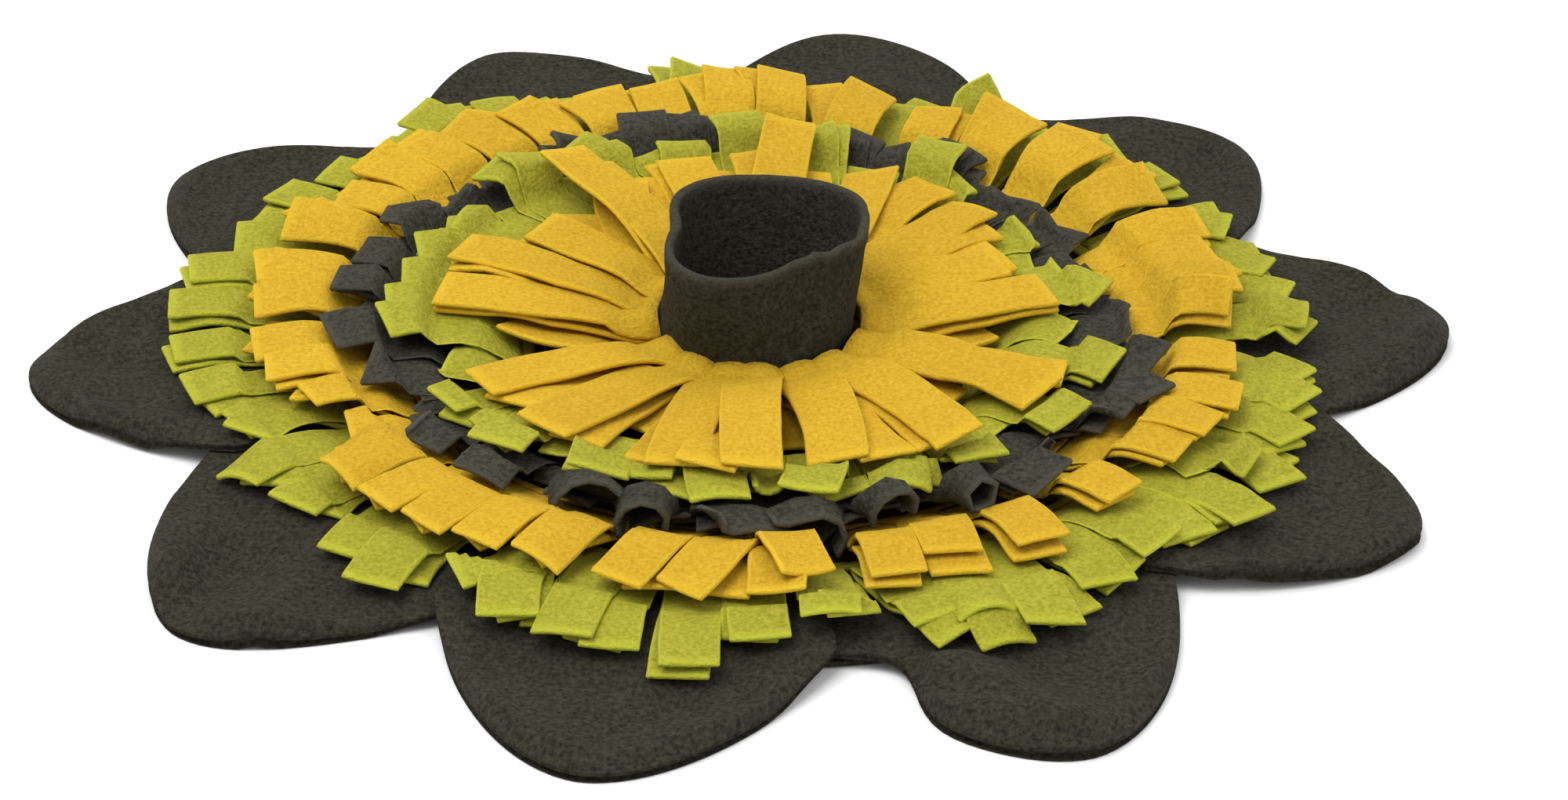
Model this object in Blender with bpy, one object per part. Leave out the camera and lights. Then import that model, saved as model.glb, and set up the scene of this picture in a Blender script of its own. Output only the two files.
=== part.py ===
"""A flower-shaped snuffle mat for a dog.

A doubled round of fleece lies on the floor. Ten turned petals are sewn to its margin, and inside
them five rounds of doubled fleece strips are sewn on, each round hanging out over the one before.
A short fleece tube stands open in the middle. Units are metres, +Z is up, and the origin is the
middle of the base's underside.
"""

import math
from collections import namedtuple

import bmesh
import bpy
import numpy as np

MAT_NAME = "snuffle_mat"

# Cloth
FLEECE = 0.0026  # one layer
SEAT = 0.0003  # between two pieces that touch
LAYER_GAP = 0.0005  # between a strip and what it lies on
EDGE_CLEAR = 0.002  # how far draped cloth stays from an edge that it goes over

# Base
BASE_RADIUS = 0.2475
BASE_THICK = 0.003
BASE_SIDES = 72

# Petals
PETAL_COUNT = 10
REACH = 0.325  # from the middle of the mat to the tip of a plain petal
OUTLINE_CENTRE = 0.3 * REACH  # a petal's outline is a superellipse about this point of its axis
OUTLINE_HALF_WIDTH = 0.3415 * REACH
OUTLINE_POWER = 1.806
OUTLINE_SAMPLES = 200
PETAL_START = 0.215  # the sewn end, under the fringe
PETAL_LAP = 0.0055  # how far a sewn end reaches past the line between two petals
SEWN_THICK = 0.003
EDGE_THICK = 0.0045
PUFF_THICK = 0.0078
LAP_LIFT = SEWN_THICK + 0.0018  # a petal that lies over its neighbours rises this far at its sides
LAP_SIDES = (0.44, 0.16)  # in half widths from its side, where that rise starts and where it is full
PUFF_SIDES = (0, 0.44)  # the same for the puff of its two layers
TIP_PUFF = 1.2  # how much sooner the puff is full coming in from the tip
RISE_LENGTH = 0.016  # over this length a petal rises off the base, up to where it clears the rim
RIM_FLAT = 0.004  # it clears the rim this far on either side
# Distances from the middle of the mat
FLOOR_START = 0.276  # past this a petal lies on the floor
LAP_FALL = (0.288, 0.262)  # where the risen sides are down, and where they are still full
PUFF_RISE = (0.2395, 0.268)  # where the two layers start to part, and where they are full
FOLD_RISE = (0.256, 0.272)  # where a petal's folds start, and where they are full
FOLD_SLACK = 0.003  # a fold that is higher than this lifts the underside too
TIP_TURN = math.radians(43)  # the outline's parameter where a petal's side becomes its tip
ACROSS = (-1, -0.84, -0.56, -0.28, 0, 0.28, 0.56, 0.84, 1)  # a petal's mesh lines, in half widths
SEWN_RINGS = (PETAL_START, BASE_RADIUS - 0.003, BASE_RADIUS + 0.0035)  # mesh lines round the mat
OPEN_ROWS = 5  # mesh rows from the last sewn ring to the tip
SPOT_DIGITS = 7

# Strips
STRIP_STEPS = 4
BACKING_WIDTH = 0.006
QUARTERS = "abcd"
QUARTER_GAP = math.radians(0.9)
PILE_CELL = 0.001
PILE_HALF = 0.36
MOST_TILT = 0.35  # a strip's rise from one long edge to the other, over its width
STIFF_RADIUS = 0.03  # the tightest bend that a strip takes over a hump
SAG_RADIUS = 0.08  # the tightest bend that it takes into a hollow
SETTLE_SPOTS = 13  # along and across each step of a strip, where its height is tested
SETTLE_ROUNDS = 200
SETTLED = 1e-6  # a strip lies still once a round moves it less than this
ROOT_SHARE = 0.45  # of a strip's first step, where nothing but its own backing is near
BEND_SHARES = (-0.3, 0.7)  # of a strip's bend: its turn off its heading at its root and at its tip

# How unlike the strips are: standard deviations
TURN_SPREAD = 1.3  # degrees
BEND_SPREAD = 3.5  # degrees
LENGTH_SPREAD = 0.003
WIDTH_SPREAD = 0.0008
MOST_SPREAD = 1.8  # no strip strays further than this many of them
UPPER_SHORT = 0.002  # a pair's upper strip is this much shorter

# Cup
CUP_CENTRE = (0.0025, -0.003)
CUP_TOP = 0.070
CUP_FOOT_RADIUS = 0.0457
CUP_RIM_RADIUS = 0.0482
CUP_WALL = 0.0055
CUP_SIDES = 32
CUP_LEVELS = 4  # mesh lines round each face of the wall

SHARP_ANGLE = math.radians(40)
CHARCOAL = (0.042, 0.041, 0.034)
LIME = (0.42, 0.52, 0.045)
YELLOW = (0.88, 0.50, 0.028)

# axis in degrees from +X; reach in shares of REACH; over: lies over both neighbours; skew moves the
# tip sideways, in metres
Petal = namedtuple("Petal", "number axis reach over skew")
PETALS = (
    Petal(1, 151.75, 0.983, False, 0),
    Petal(2, 187.75, 0.996, True, 0),
    Petal(3, 223.75, 1.009, False, 0.014),
    Petal(4, 259.75, 1.022, True, 0),
    Petal(5, 295.75, 1.020, False, -0.005),
    Petal(6, 331.75, 0.978, True, 0.008),
    Petal(7, 7.75, 0.997, False, 0),
    Petal(8, 43.75, 1.002, True, 0),
    Petal(9, 79.75, 1.010, False, 0),
    Petal(10, 115.75, 0.987, True, 0),
)

# A point of a petal that is drawn to another one, in metres, and how far round it the cloth follows:
# along is measured from the middle of the mat down the petal's axis, across to the axis's left
Dent = namedtuple("Dent", "petal along across to_along to_across width")
DENTS = (Dent(5, 0.262, -0.072, 0.252, -0.052, 0.024),)

# A soft ridge (height above 0) or trough from one point to another of a petal, measured likewise
Fold = namedtuple("Fold", "petal along across to_along to_across width height")
FOLDS = (
    Fold(1, 0.237, 0.067, 0.267, 0.068, 0.012, 0.004),
    Fold(2, 0.236, 0.056, 0.296, 0.052, 0.014, 0.006),
    Fold(3, 0.268, -0.011, 0.325, 0.014, 0.013, -0.0025),
    Fold(3, 0.280, -0.032, 0.318, -0.006, 0.012, 0.005),
    Fold(5, 0.222, -0.044, 0.286, -0.027, 0.015, 0.010),
    Fold(5, 0.286, -0.027, 0.313, -0.010, 0.014, 0.007),
    Fold(5, 0.250, 0.002, 0.300, 0.012, 0.020, -0.002),
    Fold(6, 0.270, -0.066, 0.314, -0.034, 0.014, 0.008),
    Fold(6, 0.314, -0.034, 0.322, 0.004, 0.012, 0.007),
    Fold(7, 0.253, -0.052, 0.310, -0.018, 0.014, 0.005),
    Fold(8, 0.257, 0.039, 0.281, 0.030, 0.012, 0.004),
    Fold(9, 0.262, -0.020, 0.300, 0.020, 0.030, 0.006),
    Fold(10, 0.262, -0.010, 0.300, 0.010, 0.026, 0.004),
)

# root: outer radius of the backing strip; tip: how far the strips reach; foot: height of the backing
# under its strips; pairs: in the whole round; fan: degrees between the two strips of a pair
Round = namedtuple("Round", "name colour root tip foot pairs width fan turn seed")
ROUNDS = (
    Round("fringe_1_lime", LIME, 0.186, 0.257, 0, 36, 0.0240, 8, 2, 11),
    Round("fringe_2_yellow", YELLOW, 0.158, 0.228, 0, 32, 0.0235, 5, 5, 22),
    Round("fringe_3_charcoal", CHARCOAL, 0.130, 0.185, 0, 24, 0.0235, 6, 0, 33),
    Round("fringe_4_lime", LIME, 0.104, 0.163, 0, 20, 0.0240, 5, 7, 44),
    Round("fringe_5_yellow", YELLOW, 0.0552, 0.143, 0.005, 12, 0.0255, 6, 3, 55),
)

# The cup's rim strays from a circle by waves round it: how many, how deep in metres, at which angle
Wave = namedtuple("Wave", "count depth peak")
RIM_WAVES = (Wave(2, 0.0044, 64), Wave(3, 0.0037, 8), Wave(4, 0.0018, -40))


def clear_scene():
    for old in list(bpy.data.objects):
        bpy.data.objects.remove(old, do_unlink=True)


def fleece_material(name, colour):
    material = bpy.data.materials.new(name)
    material.use_nodes = True
    shader = material.node_tree.nodes["Principled BSDF"]
    shader.inputs["Base Color"].default_value = (*colour, 1)
    shader.inputs["Roughness"].default_value = 0.95
    shader.inputs["Metallic"].default_value = 0
    return material


def add_object(name, shape, colour, collection):
    """Turns a bmesh into an object with its own fleece."""
    bmesh.ops.recalc_face_normals(shape, faces=shape.faces)
    mesh = bpy.data.meshes.new(name)
    shape.to_mesh(mesh)
    shape.free()
    mesh.shade_smooth()
    mesh.set_sharp_from_angle(angle=SHARP_ANGLE)
    mesh.materials.append(fleece_material(name, colour))
    item = bpy.data.objects.new(name, mesh)
    collection.objects.link(item)
    return item


def ease(x):
    """0 up to x = 0, 1 from x = 1, and smooth between."""
    x = np.clip(x, 0, 1)
    return x * x * (3 - 2 * x)


def ramp(x, start, end):
    """0 on start's side, 1 on end's side, and smooth between the two."""
    return ease((x - start) / (end - start))


def face_shares(count):
    """For count by count spots of a face, the share that each corner has in them.

    The corners are right and left at the near end, then at the far end. The face is two triangles,
    which meet on the line from the near right corner to the far left one.
    """
    along, across = np.meshgrid(*[np.linspace(0, 1, count)] * 2, indexing="ij")
    right = [1 - along, 0 * along, along - across, across]
    left = [1 - across, across - along, 0 * along, along]
    return np.stack(np.where(along >= across, right, left), axis=-1)


class Pile:
    """The height of everything laid so far, on a grid of square cells."""

    def __init__(self):
        side = int(2 * PILE_HALF / PILE_CELL) + 1
        self.top = np.zeros((side, side))

    def cells(self, x, y):
        return tuple(np.rint((np.asarray(p) + PILE_HALF) / PILE_CELL).astype(int) for p in (x, y))

    def add_disc(self, centre, inner, outer, height):
        line = np.arange(len(self.top)) * PILE_CELL - PILE_HALF
        x, y = np.meshgrid(line - centre[0], line - centre[1], indexing="ij")
        ring = (np.hypot(x, y) >= inner) & (np.hypot(x, y) <= outer)
        self.top[ring] = np.maximum(self.top[ring], height)

    def add_face(self, corners):
        """Adds a face of two triangles: its near corners, right and left, and then its far ones."""
        corners = np.asarray(corners, float)
        longest = np.linalg.norm(corners - corners[0], axis=1).max()
        points = face_shares(2 + int(2 * longest / PILE_CELL)) @ corners
        cells = self.cells(points[..., 0], points[..., 1])
        np.maximum.at(self.top, cells, points[..., 2])

    def under(self, x, y):
        """The height of the pile at and just round each point."""
        i, j = self.cells(x, y)
        steps = (-1, 0, 1)
        return np.max([self.top[i + di, j + dj] for di in steps for dj in steps], axis=0)


# ---- base and cup ----


def build_base(pile, collection):
    shape = bmesh.new()
    bmesh.ops.create_cone(
        shape,
        cap_ends=True,
        segments=BASE_SIDES,
        radius1=BASE_RADIUS,
        radius2=BASE_RADIUS,
        depth=BASE_THICK,
    )
    bmesh.ops.translate(shape, verts=shape.verts, vec=(0, 0, BASE_THICK / 2))
    add_object("base_disc", shape, CHARCOAL, collection)
    pile.add_disc((0, 0), 0, BASE_RADIUS, BASE_THICK)


def cup_radius(angle, share):
    """The cup's outer radius at an angle, and at a share of the way from its foot to its rim."""
    waves = sum(w.depth * math.cos(w.count * (angle - math.radians(w.peak))) for w in RIM_WAVES)
    return CUP_FOOT_RADIUS + (CUP_RIM_RADIUS - CUP_FOOT_RADIUS) * share + waves * ease(share)


def build_cup(collection):
    """The wall's section, turned round the cup's axis and then pushed out of round at the rim."""
    foot = BASE_THICK + SEAT
    lip = CUP_WALL / 2
    shoulder = (1 - math.sqrt(0.5)) * lip
    section = [(0, height) for height in np.linspace(foot, CUP_TOP - lip, CUP_LEVELS)]
    section += [(shoulder, CUP_TOP - shoulder), (lip, CUP_TOP)]
    section += [(CUP_WALL - inset, height) for inset, height in reversed(section[:-1])]
    shape = bmesh.new()
    ring = [shape.verts.new((CUP_FOOT_RADIUS - inset, 0, height)) for inset, height in section]
    edges = [shape.edges.new((a, b)) for a, b in zip(ring, ring[1:] + ring[:1])]
    bmesh.ops.spin(
        shape,
        geom=ring + edges,
        cent=(0, 0, 0),
        axis=(0, 0, 1),
        angle=2 * math.pi,
        steps=CUP_SIDES,
        use_merge=True,
    )
    for v in shape.verts:
        angle = math.atan2(v.co.y, v.co.x)
        share = (v.co.z - foot) / (CUP_TOP - foot)
        radius = cup_radius(angle, share) - (CUP_FOOT_RADIUS - math.hypot(v.co.x, v.co.y))
        v.co.x = CUP_CENTRE[0] + radius * math.cos(angle)
        v.co.y = CUP_CENTRE[1] + radius * math.sin(angle)
    add_object("cup", shape, CHARCOAL, collection)


# ---- petals ----


def outline_point(petal, turn):
    """A point of a petal's outline: turn is 0 at its tip and a quarter circle at its widest."""
    length = petal.reach * REACH - OUTLINE_CENTRE
    along = OUTLINE_CENTRE + length * np.cos(turn) ** (2 / OUTLINE_POWER)
    across = OUTLINE_HALF_WIDTH * np.sign(turn) * np.abs(np.sin(turn)) ** (2 / OUTLINE_POWER)
    return along, across


def half_angle(petal, radius):
    """Half the angle that a petal takes up at a distance from the middle of the mat."""
    along, across = outline_point(petal, np.linspace(0.5 * math.pi, 0, OUTLINE_SAMPLES))
    free = np.interp(radius, np.hypot(along, across), np.arctan2(across, along))
    return min(free, math.pi / PETAL_COUNT + math.asin(PETAL_LAP / radius))


def petal_plan(petal):
    """The petal's mesh points in plan: an array of rows of (along, across)."""
    across = np.array(ACROSS)
    rows = []
    for radius in SEWN_RINGS:
        angles = across * half_angle(petal, radius)
        rows.append(np.stack([radius * np.cos(angles), radius * np.sin(angles)], axis=1))
    turns = np.linspace(0.5 * math.pi, 0, OUTLINE_SAMPLES)
    first = np.interp(SEWN_RINGS[-1], np.hypot(*outline_point(petal, turns)), turns)
    start = rows[-1]
    tip = np.stack(outline_point(petal, across * TIP_TURN), axis=1)
    for row in range(1, OPEN_ROWS + 1):
        share = row / OPEN_ROWS
        side = first + (TIP_TURN - first) * share
        left = np.array(outline_point(petal, -side))
        right = np.array(outline_point(petal, side))
        s = (across[:, None] + 1) / 2
        straight = (1 - share) * start + share * tip
        ends = (1 - s) * straight[0] + s * straight[-1]
        rows.append(straight + (1 - s) * left + s * right - ends)
    plan = np.array(rows)
    beyond = np.clip((plan[..., 0] - BASE_RADIUS) / (petal.reach * REACH - BASE_RADIUS), 0, 1)
    plan[..., 1] += petal.skew * beyond**2
    for dent in DENTS:
        if dent.petal == petal.number:
            far = np.hypot(plan[..., 0] - dent.along, plan[..., 1] - dent.across)
            share = np.exp(-((far / dent.width) ** 2))[..., None]
            plan += share * (dent.to_along - dent.along, dent.to_across - dent.across)
    return plan


def fold_height(petal, along, across):
    """The height of a petal's highest ridge at a point of it, less that of its deepest trough."""
    ridge = np.zeros_like(along)
    trough = np.zeros_like(along)
    for f in FOLDS:
        if f.petal == petal.number:
            run = np.array([f.to_along - f.along, f.to_across - f.across])
            share = ((along - f.along) * run[0] + (across - f.across) * run[1]) / (run @ run)
            share = np.clip(share, 0, 1)
            far = np.hypot(along - f.along - share * run[0], across - f.across - share * run[1])
            height = f.height * np.exp(-((far / f.width) ** 2))
            ridge = np.maximum(ridge, height)
            trough = np.minimum(trough, height)
    return ridge + trough


def petal_heights(petal, plan):
    """The heights of a petal's underside and top at its mesh points."""
    along, across = plan[..., 0], plan[..., 1]
    radius = np.hypot(along, across)
    on_base = BASE_THICK + SEAT
    over_rim = BASE_THICK + EDGE_CLEAR
    flat_start = BASE_RADIUS - RIM_FLAT
    path = (
        (flat_start - RISE_LENGTH, on_base),
        (flat_start, over_rim),
        (BASE_RADIUS + RIM_FLAT, over_rim),
        (FLOOR_START, 0),
    )
    under = np.interp(radius, *zip(*path))
    side = 1 - np.abs(np.array(ACROSS))[None, :] * np.ones((len(plan), 1))
    to_tip = np.ones(len(plan))
    to_tip[-OPEN_ROWS:] = 1 - np.arange(1, OPEN_ROWS + 1) / OPEN_ROWS
    inside = np.minimum(side, TIP_PUFF * to_tip[:, None])
    if petal.over:
        under = under + LAP_LIFT * ramp(side, *LAP_SIDES) * ramp(radius, *LAP_FALL)
    opened = ramp(radius, *PUFF_RISE)
    edge = SEWN_THICK + (EDGE_THICK - SEWN_THICK) * opened
    puff = (PUFF_THICK - EDGE_THICK) * opened * ramp(inside, *PUFF_SIDES)
    fold = fold_height(petal, along, across) * ramp(radius, *FOLD_RISE)
    under = under + np.maximum(0, fold - FOLD_SLACK)
    top = under + edge + puff + np.minimum(fold, FOLD_SLACK)
    return under, top


def build_petal(petal, pile, collection):
    plan = petal_plan(petal)
    under, top = petal_heights(petal, plan)
    axis = math.radians(petal.axis)
    x = plan[..., 0] * math.cos(axis) - plan[..., 1] * math.sin(axis)
    y = plan[..., 0] * math.sin(axis) + plan[..., 1] * math.cos(axis)
    rows, columns = x.shape
    shape = bmesh.new()
    bmesh.ops.create_grid(shape, x_segments=columns - 1, y_segments=rows - 1, size=1)
    place = {}
    for v in shape.verts:
        column = round((v.co.x + 1) / 2 * (columns - 1))
        row = round((v.co.y + 1) / 2 * (rows - 1))
        place[v] = (row, column)
    for v, (row, column) in place.items():
        v.co = (x[row, column], y[row, column], under[row, column])
    raised = bmesh.ops.extrude_face_region(shape, geom=list(shape.faces), use_keep_orig=True)
    spots = {v.co.to_tuple(SPOT_DIGITS): at for v, at in place.items()}
    for v in raised["geom"]:
        if isinstance(v, bmesh.types.BMVert):
            v.co.z = top[spots[v.co.to_tuple(SPOT_DIGITS)]]
    add_object(f"petal_{petal.number:02d}", shape, CHARCOAL, collection)
    surface = np.stack([x, y, top], axis=-1)
    for row in range(rows - 1):
        for column in range(columns - 1):
            patch = surface[row : row + 2, column : column + 2].reshape(4, 3)
            pile.add_face(patch)
            pile.add_face(patch[[1, 0, 3, 2]])


# ---- fringe ----


class Strip:
    """One strip of fleece: its root on the backing, its way outwards and its stations' corners."""

    def __init__(self, around, centre, root_angles, root_height, heading, bend, length, width):
        self.root_height = root_height
        angles = heading + bend * np.linspace(*BEND_SHARES, STRIP_STEPS + 1)
        middle = sum(root_angles) / 2
        step = length / STRIP_STEPS
        line = [np.array([math.cos(middle), math.sin(middle)]) * around.root + centre]
        for angle in angles[:-1]:
            line.append(line[-1] + step * np.array([math.cos(angle), math.sin(angle)]))
        self.forward = np.stack([np.cos(angles), np.sin(angles)], axis=1)
        aside = np.stack([-self.forward[:, 1], self.forward[:, 0]], axis=1)
        half = 0.5 * width
        self.plan = np.stack([line - half * aside, line + half * aside], axis=1)
        self.plan[0] = [
            np.array([math.cos(angle), math.sin(angle)]) * around.root + centre
            for angle in root_angles
        ]
        self.step = step
        self.width = width
        self.low = np.zeros((STRIP_STEPS + 1, 2))
        self.low[0] = root_height

    def settle(self, pile, partner):
        """Raises the stations until the strip lies clear on the pile, as stiff as fleece is."""
        if partner:
            self.low[1] = partner.low[1].max() + FLEECE + 2 * LAYER_GAP
        shares = face_shares(SETTLE_SPOTS)
        needs = []
        for k in range(STRIP_STEPS):
            spots = shares @ self.plan[k : k + 2].reshape(4, 2)
            needs.append(pile.under(spots[..., 0], spots[..., 1]) + LAYER_GAP)
        needs[0][shares[..., 2:].sum(axis=-1) < ROOT_SHARE] = 0
        droop = self.step**2 / STIFF_RADIUS
        sag = 0.5 * self.step**2 / SAG_RADIUS
        most = MOST_TILT * self.width
        for _ in range(SETTLE_ROUNDS):
            before = self.low.copy()
            for k in range(STRIP_STEPS):
                self.raise_step(k, needs[k], shares)
            for k in range(1, STRIP_STEPS):
                middle = (self.low[k - 1] + self.low[k + 1]) / 2
                self.low[k] = np.maximum(self.low[k], middle - sag)
                run_on = 2 * self.low[k] - self.low[k - 1]
                self.low[k + 1] = np.maximum(self.low[k + 1], run_on - droop)
            for pair in self.low[1:]:
                pair[:] = np.maximum(pair, pair.max() - most)
            if np.abs(self.low - before).max() < SETTLED:
                break

    def raise_step(self, k, need, shares):
        corners = self.low[k : k + 2].reshape(4)
        lack = need - shares @ corners
        worst = np.unravel_index(lack.argmax(), lack.shape)
        if lack[worst] > 0:
            weights = shares[worst] * ([0, 0, 1, 1] if k == 0 else 1)
            corners = corners + weights * lack[worst] / (weights @ weights)
            self.low[k : k + 2] = corners.reshape(2, 2)

    def stations(self):
        """For each station its four corners: under, right and left, then on top, right and left."""
        middle = self.low.mean(axis=1)
        slope = np.arctan(np.gradient(middle, self.step))
        up = np.concatenate([-self.forward * np.sin(slope)[:, None], np.cos(slope)[:, None]], axis=1)
        up[0] = (0, 0, 1)
        under = np.concatenate([self.plan, self.low[..., None]], axis=2)
        return np.concatenate([under, under + FLEECE * up[:, None]], axis=1)

    def join(self, pile):
        """Adds the strip to the pile."""
        corners = self.stations()
        for a, b in zip(corners, corners[1:]):
            pile.add_face([a[0], a[1], b[0], b[1]])
            pile.add_face([a[2], a[3], b[2], b[3]])


def root_heights(around):
    """The heights of the undersides of a pair's two roots."""
    lower = BASE_THICK + SEAT + around.foot
    return lower, lower + FLEECE + LAYER_GAP


def backing_section(around):
    """The backing's outline: (radius, height), up its outer side and down its inner one."""
    floor = BASE_THICK + SEAT
    heights = [h for low in root_heights(around) for h in (low, low + FLEECE)]
    if around.foot:
        heights = [floor, *heights]
    inner = around.root - BACKING_WIDTH
    return [(around.root, h) for h in heights] + [(inner, heights[-1]), (inner, floor)]


def centre_of(around):
    """The innermost round goes round the cup, and the others round the middle of the mat."""
    return np.array(CUP_CENTRE if around is ROUNDS[-1] else (0, 0))


def column_angles(around, quarter):
    """The angles of a quarter's column edges: one column for each pair of strips."""
    columns = around.pairs // len(QUARTERS)
    start = math.radians(around.turn) + quarter * 2 * math.pi / len(QUARTERS)
    span = 2 * math.pi / len(QUARTERS) - QUARTER_GAP
    return start + np.linspace(0, span, columns + 1)


def plan_round(around, pile):
    """Lays a round's strips on the pile, the lower ones first: {(quarter, column, level): strip}."""
    rng = np.random.default_rng(around.seed)
    strips = {}
    reach = around.tip - around.root
    draws = rng.normal(size=(len(QUARTERS), around.pairs, 2, 4))
    draws = np.clip(draws, -MOST_SPREAD, MOST_SPREAD)
    hands = rng.choice([-1, 1], size=(len(QUARTERS), around.pairs))
    for level, height in enumerate(root_heights(around)):
        for quarter in range(len(QUARTERS)):
            edges = column_angles(around, quarter)
            for column in range(len(edges) - 1):
                turn, bend, longer, wider = draws[quarter, column, level]
                side = hands[quarter, column] * (level - 0.5)
                heading = edges[column : column + 2].mean()
                heading += math.radians(around.fan * side + TURN_SPREAD * turn)
                strip = Strip(
                    around,
                    centre_of(around),
                    edges[column : column + 2],
                    height,
                    heading,
                    math.radians(BEND_SPREAD * bend),
                    reach + LENGTH_SPREAD * longer - UPPER_SHORT * level,
                    around.width + WIDTH_SPREAD * wider,
                )
                strip.settle(pile, strips.get((quarter, column, 0)))
                strip.join(pile)
                strips[quarter, column, level] = strip
    top = backing_section(around)[-2][1]
    pile.add_disc(centre_of(around), around.root - BACKING_WIDTH, around.root, top)
    return strips


def build_backing(around, quarter):
    """A quarter of a round's backing, and its root faces by (column, level)."""
    edges = column_angles(around, quarter)
    centre = centre_of(around)
    columns = len(edges) - 1
    shape = bmesh.new()
    section = [
        shape.verts.new(
            (centre[0] + r * math.cos(edges[0]), centre[1] + r * math.sin(edges[0]), height)
        )
        for r, height in backing_section(around)
    ]
    face = shape.faces.new(section)
    bmesh.ops.spin(
        shape,
        geom=[face, *face.edges, *face.verts],
        cent=(*centre, 0),
        axis=(0, 0, 1),
        angle=edges[-1] - edges[0],
        steps=columns,
    )
    bmesh.ops.recalc_face_normals(shape, faces=shape.faces)
    flat = math.cos((edges[1] - edges[0]) / 2)
    roots = {}
    for face in shape.faces:
        middle = face.calc_center_median()
        away = np.array(middle[:2]) - centre
        angle = (math.atan2(away[1], away[0]) - edges[0]) % (2 * math.pi)
        column = int(angle / (edges[1] - edges[0]))
        outside = math.hypot(*away) > (around.root - BACKING_WIDTH / 2) * flat
        is_end = len(face.verts) == len(section)
        for level, low in enumerate(root_heights(around)):
            if outside and not is_end and abs(middle.z - low - FLEECE / 2) < FLEECE / 4:
                roots[column, level] = face
    return shape, roots


def draw_out(shape, face, stations):
    """Draws a root face out through a strip's stations."""
    nearest = [
        int(np.linalg.norm(stations[0] - np.array(v.co), axis=1).argmin()) for v in face.verts
    ]
    near = dict(zip(nearest, face.verts))
    for corners in stations[1:]:
        face = bmesh.ops.extrude_discrete_faces(shape, faces=[face])["faces"][0]
        far = dict(zip(nearest, face.verts))
        for corner, v in far.items():
            v.co = corners[corner]
        for right, left in ((0, 1), (2, 3)):
            bmesh.ops.connect_verts(shape, verts=[near[right], far[left]])
        near = far


def build_round(around, pile, collection):
    strips = plan_round(around, pile)
    for quarter, letter in enumerate(QUARTERS):
        shape, roots = build_backing(around, quarter)
        for (column, level), face in roots.items():
            draw_out(shape, face, strips[quarter, column, level].stations())
        add_object(f"{around.name}_{letter}", shape, around.colour, collection)


def main():
    clear_scene()
    collection = bpy.data.collections.new(MAT_NAME)
    bpy.context.scene.collection.children.link(collection)
    pile = Pile()
    build_base(pile, collection)
    for petal in sorted(PETALS, key=lambda p: p.over):
        build_petal(petal, pile, collection)
    for around in ROUNDS:
        build_round(around, pile, collection)
    build_cup(collection)


main()
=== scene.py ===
"""The looks of a flower-shaped snuffle mat: fleece, folds, pile, seams, floor, light and camera.

The mat lies as the CAD solids do: a base round on the floor, ten turned petals over and under each
other, five rounds of doubled fleece strips and a soft cup. Every strip is laid by a rule: it comes
from its own spot of its round's seam, ends where its row in the tables below says, and rests on
what was laid before it. Units are metres, +Z is up.
"""

import math
from collections import namedtuple

import bpy
import numpy as np
from mathutils import Matrix, Vector, noise


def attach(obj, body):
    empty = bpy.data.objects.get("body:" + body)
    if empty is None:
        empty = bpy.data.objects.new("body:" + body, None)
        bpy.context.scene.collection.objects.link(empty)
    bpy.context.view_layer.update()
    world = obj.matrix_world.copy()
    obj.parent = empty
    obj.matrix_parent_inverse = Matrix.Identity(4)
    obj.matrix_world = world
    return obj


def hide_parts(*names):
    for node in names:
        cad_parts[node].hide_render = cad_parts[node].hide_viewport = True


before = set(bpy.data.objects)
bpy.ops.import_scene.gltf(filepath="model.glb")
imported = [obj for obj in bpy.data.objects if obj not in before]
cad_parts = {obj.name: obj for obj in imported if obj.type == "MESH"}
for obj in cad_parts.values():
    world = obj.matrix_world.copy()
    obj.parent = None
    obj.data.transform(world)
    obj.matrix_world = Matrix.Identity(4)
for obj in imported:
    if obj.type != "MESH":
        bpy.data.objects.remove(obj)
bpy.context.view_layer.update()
MM = 0.001

# ---- camera, floor and light ----
CAMERA_PLACE = Vector((0.01482, -1.47282, 0.85413))
CAMERA_DOWN = math.radians(30.766)
CAMERA_ROLL = math.radians(1.859)
CAMERA_LENS = 86.55
SENSOR_WIDTH = 36
CAMERA_CLIP = (0.05, 50)
FLOOR_SIZE = 12
FLOOR_DROP = 0.0004
FLOOR_COLOUR = (0.92, 0.92, 0.92, 1)
SKY_STRENGTH = 0.62

# A soft square light that shines at the mat's middle: where it is, its side and its watts
Lamp = namedtuple("Lamp", "name place side watts")
LAMPS = (
    Lamp("key", (-0.7, -0.5, 1.9), 1.5, 34),
    Lamp("fill", (1.3, -0.9, 1.5), 1.3, 9),
    Lamp("back", (0.3, 1.6, 1.6), 1.5, 14),
)

# ---- the looks of the fleece ----
# Its colour in the depths of its pile, on its curls and on a cut edge, where it is painted brighter
# for light glowing through the thin cloth; how many clumps of curls lie in a metre, and how high
# they look
Cloth = namedtuple("Cloth", "name dark light cut clumps relief")
CLOTHS = (
    Cloth("charcoal_fleece", (0.01, 0.0095, 0.006), (0.06, 0.056, 0.037), (0.066, 0.062, 0.044), 460, 0.003),
    Cloth("charcoal_strip", (0.016, 0.0155, 0.01), (0.068, 0.065, 0.048), (0.085, 0.081, 0.062), 460, 0.002),
    Cloth("lime_fleece", (0.225, 0.235, 0.011), (0.415, 0.375, 0.042), (0.54, 0.55, 0.045), 520, 0.0012),
    Cloth("yellow_fleece", (0.46, 0.26, 0.008), (0.62, 0.395, 0.03), (0.8, 0.52, 0.034), 520, 0.0012),
)
CURLS = 1050  # in a metre
PATCHES = 22  # of paler cloth
CURL_TINT = 0.5  # what a curl adds to its clump's colour,
CURL_RISE = 0.7  # and to its height
PATCH_SHADE = 0.22  # what a patch adds to the tone
TONE = 0.89

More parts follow.
